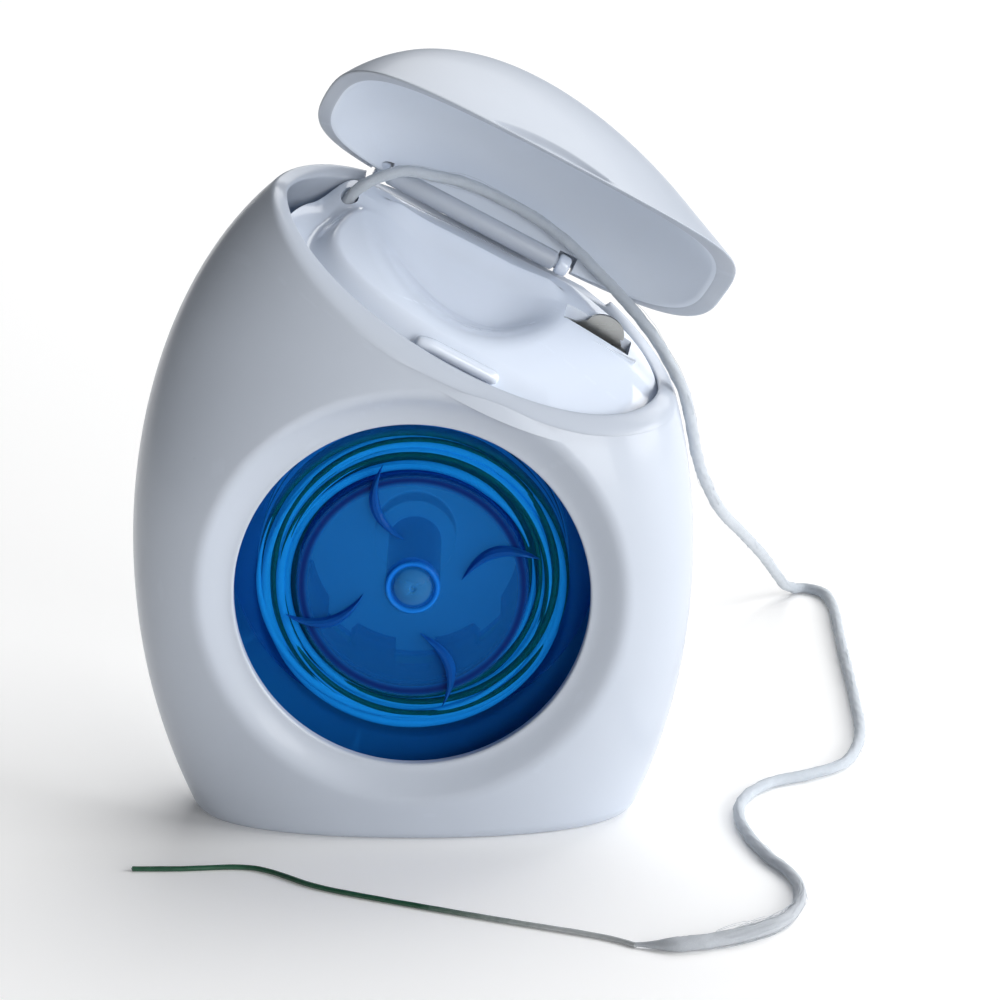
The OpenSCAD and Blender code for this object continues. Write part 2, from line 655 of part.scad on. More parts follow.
// Round tube along a path, with flat ends and a frame that is carried along without twist
module tube(path, diameters, sides) {
    t = tangents(path);
    first = level([0.2, 0.1, 1], t[0]);
    normals = [for (i = 0, n = first; i < len(path); i = i + 1, n = level(n, t[min(i, len(path) - 1)])) n];
    rings = [for (i = [0:len(path) - 1]) let (u = normals[i], v = cross(t[i], u), r = diameters[i] / 2)
        [for (k = [0:sides - 1]) path[i] + u * r * cos(k * 360 / sides) + v * r * sin(k * 360 / sides)]];
    last = (len(path) - 1) * sides;
    polyhedron([for (ring = rings) each ring], concat(
        [for (i = [0:len(path) - 2], k = [0:sides - 1])
            let (a = i * sides + k, b = i * sides + (k + 1) % sides)
            each [[a, b + sides, b], [a, a + sides, b + sides]]],
        [[for (k = [0:sides - 1]) k]],
        [[for (k = [sides - 1:-1:0]) last + k]]), convexity = 10);
}

// Smooth curve through a route's points, with a ring about every route_step millimetres
function spline(a, b, c, d, t) =
    0.5 * (2 * b + (c - a) * t + (2 * a - 5 * b + 4 * c - d) * t * t + (3 * b - a - 3 * c + d) * t * t * t);
function smooth_route(p) = concat([for (i = [0:len(p) - 2])
    let (steps = max(1, round(norm(p[i + 1] - p[i]) / route_step)))
    for (k = [0:steps - 1])
        spline(p[max(0, i - 1)], p[i], p[i + 1], p[min(len(p) - 1, i + 2)], k / steps)],
    [p[len(p) - 1]]);

module floss_winding() {
    color(floss_green) tube(wind_path, [for (p = wind_path) yarn_d], 6);
}

module floss_lead() {
    path = smooth_route(lead_route);
    color(floss_white) tube(path, [for (p = path) strand_d], 8);
}

module floss_strand() {
    path = smooth_route(strand_route);
    color(floss_white) tube(path, [for (p = path) strand_d], 8);
}

module floss_threader() {
    path = smooth_route(threader_route);
    color(floss_green) tube(path, [for (p = path) threader_d], 8);
}

front_shell();
rear_shell();
deck();
lid();
cutter_blade();
spool_wheel();
spool_flange();
floss_core();
floss_winding();
floss_lead();
floss_strand();
floss_threader();
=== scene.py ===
"""Floss dispenser with its lid open: visual pieces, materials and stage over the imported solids."""

import math

import bmesh
import bpy
import numpy as np
from bpy.props import FloatProperty, FloatVectorProperty, IntProperty, PointerProperty
from mathutils import Matrix, Vector


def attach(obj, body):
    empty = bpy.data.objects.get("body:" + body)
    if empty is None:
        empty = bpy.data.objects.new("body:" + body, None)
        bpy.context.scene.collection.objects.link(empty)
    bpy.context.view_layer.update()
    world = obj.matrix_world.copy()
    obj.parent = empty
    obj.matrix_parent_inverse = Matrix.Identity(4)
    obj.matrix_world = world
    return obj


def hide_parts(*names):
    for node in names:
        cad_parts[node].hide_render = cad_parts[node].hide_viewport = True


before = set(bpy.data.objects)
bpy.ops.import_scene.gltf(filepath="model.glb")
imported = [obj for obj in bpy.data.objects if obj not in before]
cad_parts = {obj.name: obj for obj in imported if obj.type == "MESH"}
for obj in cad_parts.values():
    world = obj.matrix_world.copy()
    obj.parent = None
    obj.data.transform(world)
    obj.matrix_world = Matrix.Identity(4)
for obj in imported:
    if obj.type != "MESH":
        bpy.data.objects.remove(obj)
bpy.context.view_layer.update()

bl_info = {
    "name": "Floss Dispenser",
    "version": (1, 0, 0),
    "blender": (4, 5, 0),
    "location": "View3D > Sidebar > Floss Dispenser",
    "description": "Builds a floss dispenser with an open lid, a window and a clear spool",
    "category": "Object",
}

MM = 0.001

# ---------------------------------------------------------------- sizes and colours


def length_setting(name, text, millimetres, low, high):
    return FloatProperty(
        name=name, description=text, default=millimetres * MM, min=low * MM, max=high * MM,
        unit="LENGTH", precision=4,
    )


def colour_setting(name, text, colour):
    return FloatVectorProperty(
        name=name, description=text, default=colour, size=3, min=0, max=1, subtype="COLOR"
    )


class CaseSizes(bpy.types.PropertyGroup):
    width: length_setting("Width", "Width of the case at its widest section", 50.4, 40, 60)
    thickness: length_setting("Thickness", "Thickness of the case from front to back", 23.6, 20, 30)
    foot_width: length_setting("Foot width", "Width of the case at the foot", 39.4, 35, 44)
    foot_thickness: length_setting("Foot thickness", "Thickness at the foot", 17.2, 15, 20)
    height: length_setting("Height", "Height with the lid shut", 63.4, 60, 72)
    wall: length_setting("Wall", "Thickness of the moulded walls", 1.4, 1, 1.8)
    lip_round: length_setting("Lip rounding", "Depth of the rounding on the mouth's lip", 0.62, 0.2, 0.7)
    lid_open: FloatProperty(
        name="Lid opening", description="How far the lid stands open", default=math.radians(64),
        min=0, max=math.radians(76), subtype="ANGLE",
    )


class WindowSizes(bpy.types.PropertyGroup):
    width: length_setting("Window width", "Width of the round window", 31.7, 26, 32.5)
    dish: length_setting("Dish width", "Width of the dished ring round the window", 3.35, 2, 4)
    fin_thickness: length_setting("Fin thickness", "Thickness of a finger fin at its middle", 0.95, 0.5, 1.2)
    fins: IntProperty(name="Fins", description="Number of finger fins on the spool", default=4, min=3, max=6)


class FlossSizes(bpy.types.PropertyGroup):
    strand: length_setting("Strand width", "Width of the spongy part of the strand", 1.1, 0.9, 1.2)
    threader: length_setting("Threader width", "Width of the stiff end of the strand", 0.5, 0.35, 0.6)
    yarn: length_setting("Wound width", "Width of the wound spongy floss", 0.96, 0.7, 1.1)
    thin_yarn: length_setting("Wound stiff width", "Width of the wound stiff floss", 0.7, 0.4, 0.9)


class DispenserColours(bpy.types.PropertyGroup):
    plastic: colour_setting("Plastic", "White moulded plastic", (0.49, 0.535, 0.61))
    spool: colour_setting("Spool", "Tint of the clear spool", (0.012, 0.2, 0.72))
    steel: colour_setting("Blade", "Stamped steel of the cutter", (0.36, 0.37, 0.37))
    spongy: colour_setting("Spongy floss", "White spongy filament", (0.55, 0.6, 0.66))
    stiff: colour_setting("Stiff floss", "Dark green stiffened filament", (0.012, 0.07, 0.035))
    floor: colour_setting("Floor", "Pale studio floor", (0.97, 0.97, 0.97))


# ---------------------------------------------------------------- form of the case, in millimetres

BELLY = 25.8
WINDOW_Z = 23.3
WINDOW_Y = -8.8
FACE_Y = -6.0
INNER_Y = -4.9
REAR_Y = 5.2
CORE_END = 7.1
SLOPE = math.radians(28.5)
HINGE = np.array([5.3, 7.5, 53.766])
ALONG = np.array([math.cos(SLOPE), 0.0, -math.sin(SLOPE)])
UPWARD = np.array([math.sin(SLOPE), 0.0, math.cos(SLOPE)])
SIDEWAYS = np.array([0.0, 1.0, 0.0])
FOOT_R = 1.2
DECK_CENTRE = (5, -0.5)
DECK_SHEET = 1.3
EXIT_HOLE = (-5.6, 4.4)
SLOT = (16.4, 3.4)
PIN_HEIGHTS = (10, 34)
TROUGH_R = 2.35
TROUGH_ENDS = (-10.1, 14.5)
BEAD_ROOM = 1.6
RIM_ROUND = 0.34
LID_GAP = 0.3
# near-black grey of the painted shadow in the cutter slot
SLOT_SHADOW_GREY = (0.05, 0.05, 0.055)
STUDIO_WHITE = (1.0, 1.0, 1.0)
STAGE_MIDDLE = (0.0, 0.0, 0.03)


def round_turn(count):
    return np.linspace(0, 2 * math.pi, count, endpoint=False)


def scaled(colour, factor, top=1.0):
    return tuple(min(top, c * factor) for c in colour)


def lengths_along(line):
    """Length from the start of a line to each of its points."""
    return np.concatenate([[0], np.cumsum(np.linalg.norm(np.diff(line, axis=0), axis=1))])


def smooth(t):
    t = np.clip(t, 0, 1)
    return t * t * (3 - 2 * t)


def middle_line(x):
    return 52.3 - math.tan(SLOPE) * x


def parting(x, y):
    """Height of the face where lid and case meet."""
    return middle_line(x) + 6.3 * y * np.abs(y) / 100


def deck_plane(x, y):
    return middle_line(x) - 1.1 + 0.55 * y


class CaseForm:
    """Sections of the case, from the sizes that the user set."""

    def __init__(self, sizes):
        self.half_w = sizes.width / MM / 2
        self.half_t = sizes.thickness / MM / 2
        self.apex = sizes.height / MM
        self.wall = sizes.wall / MM
        self.lip = sizes.lip_round / MM
        self.w_reach = BELLY / math.sqrt(1 - (sizes.foot_width / sizes.width) ** 2)
        self.t_reach = BELLY / math.sqrt(1 - (sizes.foot_thickness / sizes.thickness) ** 2)

    def half_width(self, z, inset):
        reach = np.where(z > BELLY, self.apex - BELLY - inset, self.w_reach)
        return (self.half_w - inset) * np.sqrt(np.maximum(0, 1 - ((z - BELLY) / reach) ** 2))

    def half_depth(self, z, inset, front):
        reach = np.where(z > BELLY, self.apex - BELLY - inset, self.t_reach)
        power = np.where(z <= BELLY, 0.5, np.where(front, 0.35, 0.3))
        return (self.half_t - inset) * np.maximum(0, 1 - ((z - BELLY) / reach) ** 2) ** power

    def roundness(self, z, front):
        swell = 0.8 * np.maximum(0, 1 - ((z - WINDOW_Z) / 22) ** 2) ** 2
        return np.where(front, 2.2 + swell, 2.8)

    def section(self, a, z, inset):
        """Points of the section at height z, in the direction of angle a."""
        a, z, inset = np.broadcast_arrays(np.asarray(a, float), z, inset)
        c, s = np.cos(a), np.sin(a)
        front = s < 0
        p = 2 / self.roundness(z, front)
        x = self.half_width(z, inset) * np.sign(c) * np.abs(c) ** p
        y = self.half_depth(z, inset, front) * np.sign(s) * np.abs(s) ** p
        return np.stack([x, y, z], -1)

    def height_on(self, a, inset, surface):
        """Height at which each column meets a surface, found by halving."""
        a, inset = np.broadcast_arrays(np.asarray(a, float), np.asarray(inset, float))
        low, high = np.full(a.shape, 24.8), self.apex - inset - 0.01
        for _ in range(32):
            mid = (low + high) / 2
            under = surface(self.section(a, mid, inset))
            low, high = np.where(under, mid, low), np.where(under, high, mid)
        return (low + high) / 2

    def rim(self, a, inset, lift=0.0):
        return self.height_on(a, inset, lambda p: p[..., 2] < parting(p[..., 0], p[..., 1]) + lift)

    def deck_edge(self, a, inset):
        return self.height_on(a, inset, lambda p: p[..., 2] < deck_plane(p[..., 0], p[..., 1]))

    def rear_rim(self, a, inset, lift=0.0):
        """The same as rim, with clear way for the lid's back edge and the ears."""

        def under(p):
            d = p - HINGE
            s, n, v = d @ ALONG, d @ UPWARD, p[..., 1] - HINGE[1]
            bead = -np.sqrt(np.maximum(0, BEAD_ROOM**2 - v * v))
            trough = -np.sqrt(np.maximum(0, TROUGH_R**2 - v * v))
            floor = np.where(v < 1.15, bead, -v * math.tan(math.radians(44)))
            floor = np.where(v > 1.69, trough, floor)
            floor = np.where((v < -BEAD_ROOM) | (v > TROUGH_R), 99.0, floor)
            past_ends = np.maximum(TROUGH_ENDS[0] - s, s - TROUGH_ENDS[1])
            floor = floor + 6 * np.maximum(0, past_ends) ** 1.5
            return (p[..., 2] < parting(p[..., 0], p[..., 1]) + lift) & (n < floor)

        return self.height_on(a, inset, under)

    def studs(self, profile, closed):
        """The same turned form (radius, depth) at each of the four places beside the seam."""
        made = []
        for z in PIN_HEIGHTS:
            for side in (-1, 1):
                x = side * (float(self.half_width(np.array(z, float), self.wall)) - 2 + 0.3)
                points = [[x + r * math.cos(k), y, z + r * math.sin(k)] for k in round_turn(32) for r, y in profile]
                made.append((points, grid_faces(32, len(profile), True, closed)))
        return made

    def front_y(self, x, z, inset=0.0):
        """Depth of the front face over a point of the front view."""
        p = self.roundness(z, np.full(np.shape(z), True))
        c = np.minimum(1, np.abs(x) / self.half_width(z, inset)) ** (p / 2)
        return -self.half_depth(z, inset, True) * np.sqrt(1 - c * c) ** (2 / p)

    def front_angle(self, x, z, inset=0.0):
        p = self.roundness(z, np.full(np.shape(z), True))
        c = np.sign(x) * np.minimum(1, np.abs(x) / self.half_width(z, inset)) ** (p / 2)
        return 2 * math.pi - np.arccos(c)


def scoop(x, y):
    """Bowl for the fingertip, with a soft crest."""
    dx, dy, turn = x - 5.2, y - 6.1, math.radians(20)
    s = (dx * math.cos(turn) - dy * math.sin(turn)) / 9.3
    t = (dy * math.cos(turn) + dx * math.sin(turn)) / 12.6
    far = np.sqrt(s * s + t * t)
    return 4.4 * (1 - smooth((far - 0.32) / 0.72)) * (1 - 0.85 * smooth((y - 1) / 5.5))


def moat(x, y, r):
    """Channel inside the lip, which fades out towards the low end and the hinge."""
    back = smooth((y - 1.5) / 3.5) * smooth((x + 9) / 4)
    return 2.4 * smooth((r - 0.66) / 0.2) * np.clip((12 - x) / 15, 0, 1) * (1 - back)


def ledge(x, y):
    """Low ridge in front of the hinge bead."""
    ends = smooth((x + 3.2) / 2.5) * (1 - smooth((x - 12) / 2))
    return 0.8 * smooth((y - 4.2) / 1.4) * (1 - smooth((y - 5.6) / 0.7)) * ends


def deck_top(x, y, r):
    return deck_plane(x, y) + 1.2 * (1 - r * r) - scoop(x, y) - moat(x, y, r) + ledge(x, y)


# ---------------------------------------------------------------- mesh building


def grid_faces(rows, columns, wrap_rows=False, wrap_columns=False, start=0):
    """Quads of a grid whose points are numbered row by row."""
    i = np.arange(rows if wrap_rows else rows - 1)[:, None]
    j = np.arange(columns if wrap_columns else columns - 1)[None, :]
    i2, j2 = (i + 1) % rows, (j + 1) % columns
    quads = np.stack(np.broadcast_arrays(
        i * columns + j, i2 * columns + j, i2 * columns + j2, i * columns + j2), -1)
    return (quads.reshape(-1, 4) + start).tolist()


def weld_points(mesh):
    """Joins points that coincide and turns the faces outwards."""
    bm = bmesh.new()
    bm.from_mesh(mesh)
    bmesh.ops.remove_doubles(bm, verts=bm.verts, dist=2e-6)
    bmesh.ops.dissolve_degenerate(bm, edges=bm.edges, dist=1e-7)
    bmesh.ops.recalc_face_normals(bm, faces=bm.faces)
    bm.to_mesh(mesh)
    bm.free()


def mesh_object(name, points, faces, weld=True):
    """Object in the scene from points in millimetres."""
    mesh = bpy.data.meshes.new(name)
    mesh.from_pydata((np.asarray(points, float).reshape(-1, 3) * MM).tolist(), [], faces)
    if weld:
        weld_points(mesh)
    made = bpy.data.objects.new(name, mesh)
    bpy.context.scene.collection.objects.link(made)
    return made


def new_piece(name, points, faces, materials, body, slot, stands_for=(), crease=40, weld=True):
    """Mesh object from points in millimetres, riding on a body of the frame."""
    piece = mesh_object(name, points, faces, weld)
    for material in materials:
        piece.data.materials.append(material)
    shade(piece, crease)
    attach(piece, body)
    if stands_for:
        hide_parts(*stands_for)
    return piece


def shade(piece, crease=40):
    piece.data.polygons.foreach_set("use_smooth", [True] * len(piece.data.polygons))
    piece.data.set_sharp_from_angle(angle=math.radians(crease))
    piece.data.update()


def mark_inside(piece, values):
    """Stores on each face how far it belongs to the piece's inside."""
    mark = piece.data.attributes.new("inside", "FLOAT", "FACE")
    mark.data.foreach_set("value", values)


def carve(piece, points, faces, operation="DIFFERENCE", crease=40):
    """Cuts a closed form out of the piece, or joins it."""
    tool = mesh_object("tool", points, faces)
    change = piece.modifiers.new("carve", "BOOLEAN")
    change.operation, change.object, change.solver = operation, tool, "EXACT"
    depsgraph = bpy.context.evaluated_depsgraph_get()
    mesh = bpy.data.meshes.new_from_object(piece.evaluated_get(depsgraph))
    piece.modifiers.remove(change)
    old, piece.data = piece.data, mesh
    mesh.name = piece.name
    bpy.data.meshes.remove(old)
    left = tool.data
    bpy.data.objects.remove(tool)
    bpy.data.meshes.remove(left)
    shade(piece, crease)


def lathe(profile, segments=128, closed=True):
    """Points and faces of a profile (radius, depth) turned round the spool's axis."""
    profile = np.asarray(profile, float)
    t = round_turn(segments)
    points = np.stack(np.broadcast_arrays(
        profile[None, :, 0] * np.cos(t)[:, None], profile[None, :, 1],
        WINDOW_Z + profile[None, :, 0] * np.sin(t)[:, None]), -1)
    return points.reshape(-1, 3), grid_faces(segments, len(profile), True, closed)


def bar(r, ends, bevel, segments=48):
    """Round bar along the hinge axis with rounded ends."""
    turn = np.linspace(0, math.pi / 2, 6)
    first = [(ends[0] + bevel * (1 - math.sin(t)), r - bevel * (1 - math.cos(t))) for t in turn[::-1]]
    last = [(ends[1] - bevel * (1 - math.sin(t)), r - bevel * (1 - math.cos(t))) for t in turn]
    profile = np.array([(ends[0], 0.0)] + first + last + [(ends[1], 0.0)])
    t = round_turn(segments)[:, None]
    s, rr = profile[None, :, 0], profile[None, :, 1]
    points = (HINGE + s[..., None] * ALONG + (rr * np.cos(t))[..., None] * SIDEWAYS
              + (rr * np.sin(t))[..., None] * UPWARD)
    return points.reshape(-1, 3), grid_faces(segments, len(profile), True, False)


def spline_through(route, step):
    """Smooth line through a route's points, with points about a step apart."""
    p = np.asarray(route, float)
    line = []
    for i in range(len(p) - 1):
        a, b, c, d = p[max(0, i - 1)], p[i], p[i + 1], p[min(len(p) - 1, i + 2)]
        count = max(1, round(float(np.linalg.norm(c - b)) / step))
        for k in range(count):
            t = k / count
            line.append(0.5 * (2 * b + (c - a) * t + (2 * a - 5 * b + 4 * c - d) * t * t
                               + (3 * b - a - 3 * c + d) * t**3))
    line.append(p[-1])
    return np.array(line)


def frames_along(line):
    """Side and up directions along a line, carried along without twist."""
    t = np.gradient(line, axis=0)
    t /= np.linalg.norm(t, axis=1)[:, None]
    n = np.array((0.2, 0.1, 1.0))
    normals = []
    for tangent in t:
        n = n - tangent * (n @ tangent)
        n /= np.linalg.norm(n)
        normals.append(n)
    normals = np.array(normals)
    return t, normals, np.cross(t, normals)


def tube(line, radius, sides=14):
    """Points and faces of a tube with closed ends. radius is one number, or one per point."""
    line = np.asarray(line, float)
    radius = np.broadcast_to(radius, len(line))
    t, n, b = frames_along(line)
    angle = round_turn(sides)
    rings = (line[:, None] + radius[:, None, None] * np.cos(angle)[None, :, None] * n[:, None]
             + radius[:, None, None] * np.sin(angle)[None, :, None] * b[:, None])
    faces = grid_faces(len(line), sides, False, True)
    tips = [line[0] - t[0] * radius[0] * 0.5, line[-1] + t[-1] * radius[-1] * 0.5]
    last, base = (len(line) - 1) * sides, len(line) * sides
    faces += [[base, (k + 1) % sides, k] for k in range(sides)]
    faces += [[base + 1, last + k, last + (k + 1) % sides] for k in range(sides)]
    return np.concatenate([rings.reshape(-1, 3), tips]), faces


def joined(*parts):
    """Several (points, faces) pairs as one."""
    points, faces, start = [], [], 0
    for p, f in parts:
        p = np.asarray(p, float).reshape(-1, 3)
        points.append(p)
        faces += [[v + start for v in face] for face in f]
        start += len(p)
    return np.concatenate(points), faces


def box_on_slope(x, y, z, size, offset=(0, 0, 0), bevel=0.15):
    """Block with rounded upright edges, in the deck's sloping frame."""
    origin = np.array([x, y, z], float)
    lx, ly, lz = size
    corner = []
    for cx, cy, start in ((1, 1, 0), (-1, 1, 90), (-1, -1, 180), (1, -1, 270)):
        for k in range(4):
            a = math.radians(start + 30 * k)
            corner.append((cx * (lx / 2 - bevel) + bevel * math.cos(a),
                           cy * (ly / 2 - bevel) + bevel * math.sin(a)))
    rings = [[origin + ALONG * (u + offset[0]) + SIDEWAYS * (v + offset[1]) + UPWARD * (height + offset[2])
              for u, v in corner] for height in (0, lz)]
    n = len(corner)
    faces = grid_faces(2, n, False, True) + [list(range(n))[::-1], list(range(n, 2 * n))]
    return np.array(rings).reshape(-1, 3), faces


# ---------------------------------------------------------------- shader maths


class Value:
    """Socket of a shader graph. Python's operators on it add Math nodes."""

    def __init__(self, graph, socket):
        self.graph, self.socket = graph, socket

    def _math(self, operation, *values):
        return self.graph.node("ShaderNodeMath", {"operation": operation}, *values)

    def __add__(self, other): return self._math("ADD", self, other)
    def __radd__(self, other): return self._math("ADD", other, self)
    def __sub__(self, other): return self._math("SUBTRACT", self, other)
    def __rsub__(self, other): return self._math("SUBTRACT", other, self)
    def __mul__(self, other): return self._math("MULTIPLY", self, other)
    def __rmul__(self, other): return self._math("MULTIPLY", other, self)
    def __truediv__(self, other): return self._math("DIVIDE", self, other)
    def __pow__(self, other): return self._math("POWER", self, other)
    def __gt__(self, other): return self._math("GREATER_THAN", self, other)
    def clamp(self): return self.graph.node("ShaderNodeClamp", {}, self)


class Graph:
    """Node tree of one material."""

    def __init__(self, name):
        self.material = bpy.data.materials.new(name)
        self.material.use_nodes = True
        self.tree = self.material.node_tree
        self.tree.nodes.clear()
        self.out = self.tree.nodes.new("ShaderNodeOutputMaterial")

    def feed(self, socket, value):
        if isinstance(value, Value):
            self.tree.links.new(value.socket, socket)
        elif hasattr(socket.default_value, "__len__") and not hasattr(value, "__len__"):
            socket.default_value = [value] * len(socket.default_value)
        elif hasattr(value, "__len__") and len(socket.default_value) == 4 and len(value) == 3:
            socket.default_value = (*value, 1)
        else:
            socket.default_value = value

    def raw(self, kind, settings=None, *values, **named):
        """New node: its settings first, then sockets in order, then sockets by name."""
        node = self.tree.nodes.new(kind)
        for key, value in (settings or {}).items():
            if key == "stops":
                ramp = node.color_ramp
                while len(ramp.elements) < len(value):
                    ramp.elements.new(0.5)
                for element, (place, colour) in zip(ramp.elements, value):
                    element.position = place
                    element.color = (*colour, 1) if hasattr(colour, "__len__") else (colour,) * 3 + (1,)
            else:
                setattr(node, key, value)
        for socket, value in zip(node.inputs, values):
            if value is not None:
                self.feed(socket, value)
        for key, value in named.items():
            self.feed(node.inputs[key.replace("_", " ")], value)
        return node

    def node(self, kind, settings=None, *values, **named):
        made = self.raw(kind, settings, *values, **named)
        return Value(self, made.outputs[0])

    def mix(self, mask, a, b):
        """Colour between a and b."""
        made = self.raw("ShaderNodeMix", {"data_type": "RGBA"})
        for key, value in ((0, mask), (6, a), (7, b)):
            self.feed(made.inputs[key], value)
        return Value(self, made.outputs[2])

    def place(self):
        """Position on the piece, in metres, at rest."""
        return Value(self, self.raw("ShaderNodeTexCoord").outputs["Object"])

    def noise(self, scale, detail=3.0, roughness=0.55, vector=None, distortion=0.0):
        made = self.raw("ShaderNodeTexNoise", {}, Vector=vector or self.place(), Scale=scale, Detail=detail,
                        Roughness=roughness, Distortion=distortion)
        return Value(self, made.outputs[0])

    def axis(self, name, vector=None):
        made = self.raw("ShaderNodeSeparateXYZ", {}, vector or self.place())
        return Value(self, made.outputs[name])

    def stretched(self, factors):
        return self.node("ShaderNodeVectorMath", {"operation": "MULTIPLY"}, self.place(), factors)

    def inside(self):
        return Value(self, self.raw("ShaderNodeAttribute", {"attribute_name": "inside"}).outputs["Fac"])

    def bump(self, strength, distance, height):
        return self.node("ShaderNodeBump", {}, Strength=strength, Distance=distance, Height=height)

    def principled(self, **sockets):
        return self.node("ShaderNodeBsdfPrincipled", {}, **sockets)

    def window_distance(self):
        """Distance from the spool's axis, in metres."""
        return (self.axis("X") ** 2 + (self.axis("Z") - WINDOW_Z * MM) ** 2) ** 0.5

    def edges(self):
        """Near 1 on outer edges and 0 elsewhere."""
        point = Value(self, self.raw("ShaderNodeNewGeometry").outputs["Pointiness"])
        return ((point - 0.505) * 14).clamp()

    def finish(self, shader):
        self.tree.links.new(shader.socket, self.out.inputs["Surface"])
        return self.material


def moulded_plastic(name, colour, roughness=0.3, coat=0.15, glow=0.0):
    """White moulded plastic: faint clouding, soft edge wear, handled gloss and fine skin.

    With a glow, the inside of the back wall round the spool glows blue: a painted glow standing in for daylight
    through the thin wall."""
    g = Graph(name)
    cloud = g.noise(90, 4)
    fine = g.noise(2600, 2)
    edge = g.edges()
    base = g.mix(cloud, scaled(colour, 0.965), scaled(colour, 1.02))
    base = g.mix(edge * 0.18, base, scaled(colour, 1.12))
    smears = g.noise(260, 5, 0.6, distortion=0.6)
    rough = roughness - 0.05 + smears * 0.09 + edge * 0.03
    bump = g.bump(0.048, 0.00004, fine * 0.6 + cloud * 0.4)
    shader = g.principled(Base_Color=base, Roughness=rough, IOR=1.42,
                          Coat_Weight=coat, Coat_Roughness=0.06, Normal=bump)
    if glow:
        # painted glow: blue emission on the inside faces of the back wall near the spool's axis, standing in for
        # daylight through the thin wall
        far = g.window_distance() / 0.017
        lit = (1 - far * far).clamp() * (g.axis("Y") > 0.0073) * g.inside()
        g.feed(shader.socket.node.inputs["Emission Color"], g.mix(lit, (0, 0, 0), (0.3, 0.62, 1)))
        shader.socket.node.inputs["Emission Strength"].default_value = glow
    return g.finish(shader)


def lid_plastic(colour):
    """Glossy outside and satin inside, told apart by a face attribute. The outside is a darker and the inside a
    lighter copy of the plastic, as painted shade and painted light, and the inside has a faint painted glow standing
    in for daylight through the lid.
    """
    g = Graph("lid_plastic")
    inside = g.inside()
    cloud = g.noise(80, 4)
    # painted shade on the outside and painted light on the inside: darker and lighter copies of the same plastic
    base = g.mix(cloud, scaled(colour, 0.84), scaled(colour, 0.9))
    base = g.mix(inside, base, scaled(colour, 1.12))
    base = g.mix(g.edges() * 0.2, base, scaled(colour, 1.1))
    fine = g.noise(2200, 2)
    rough = 0.38 + g.noise(240, 5, 0.6, distortion=0.5) * 0.08 + inside * 0.12
    bump = g.bump(0.1, 0.00004, fine * (0.4 + inside * 1.2) + cloud * 0.4)
    # painted glow: faint emission on the inside faces
    shader = g.principled(Base_Color=base, Roughness=rough, IOR=1.42,
                          Coat_Weight=0.06 - inside * 0.05, Coat_Roughness=0.06, Normal=bump,
                          Emission_Color=g.mix(inside, (0, 0, 0), (0.88, 0.94, 1)), Emission_Strength=0.1)
    return g.finish(shader)


def clear_blue(name, tint, body_share, see, zones=False):
    """Clear tinted plastic: what lies behind shows through the tint, and edges look more solid, with a painted
    highlight of lighter blue along them.

    With zones, the disc is painted in rings round its axis: a lighter, more solid blue inside the core stands in for
    the lit space behind it (painted light), the hub's dome and ring are painted brighter as painted highlights, and a
    dark, nearly solid ring over the core wall is painted shade."""
    g = Graph(name)
    swirl = g.noise(140, 3, distortion=0.8)
    base = g.mix(swirl, scaled(tint, 0.6), tint)
    edge = g.edges()
    share = body_share
    if zones:
        far = g.window_distance() * 1000
        centre = ((9.7 - far) * 4).clamp()
        wall = (1 - ((far - 9.92) ** 2) * 3.5).clamp()
        outside = ((far - 14.0) * 3).clamp()
        # painted light and shade in rings round the axis: deeper blue over the winding, lighter blue inside the core
        # for the lit space behind it, a brighter hub dome and hub ring as painted highlights, and a dark ring over
        # the core wall as painted shade
        base = g.mix(((far - 10.2) * 4).clamp() * (1 - outside), base, (0.006, 0.11, 0.42))
        base = g.mix(centre * 0.9, base, g.mix(swirl, (0.006, 0.115, 0.4), (0.01, 0.14, 0.47)))
        ring = (1 - ((far - 2.2) ** 2) * 12).clamp()
        base = g.mix(((1.75 - far) * 5).clamp(), base, (0.05, 0.24, 0.55))
        base = g.mix(ring * 0.8, base, (0.008, 0.2, 0.88))
        base = g.mix(wall * 0.95, base, (0.001, 0.01, 0.11))
        share = share + centre * 0.36 + ring * 0.25 + wall * 0.9 + outside * 0.1
    # painted highlight: lighter blue on convex edges
    base = g.mix(edge * 0.4, base, (0.02, 0.3, 0.9))
    rough = 0.08 + g.noise(500, 4) * 0.07
    bump = g.bump(0.06, 0.00003, g.noise(900, 3))
    solid = g.principled(Base_Color=base, Roughness=rough, IOR=1.5, Specular_IOR_Level=0.05, Normal=bump)
    clear = g.node("ShaderNodeBsdfTransparent", {}, see)
    facing = Value(g, g.raw("ShaderNodeLayerWeight", {}, Blend=0.35).outputs["Facing"])
    share = share + facing * (0.6 - body_share) + edge * 0.1
    mixed = g.node("ShaderNodeMixShader", {}, share.clamp(), clear, solid)
    return g.finish(mixed)


def steel(colour, name):
    """Stamped sheet steel with fine drawn lines and a darker, sharper edge."""
    g = Graph(name)
    lines = g.noise(900, 3, vector=g.stretched((0.12, 1, 4)))
    stain = g.noise(420, 4)
    base = g.mix(stain, scaled(colour, 0.8), scaled(colour, 1.12))
    base = g.mix(g.edges() * 0.4, base, scaled(colour, 2, 0.8))
    rough = 0.2 + lines * 0.2
    bump = g.bump(0.15, 0.00002, lines)
    shader = g.principled(Base_Color=base, Metallic=0.9, Roughness=rough, Normal=bump)
    return g.finish(shader)


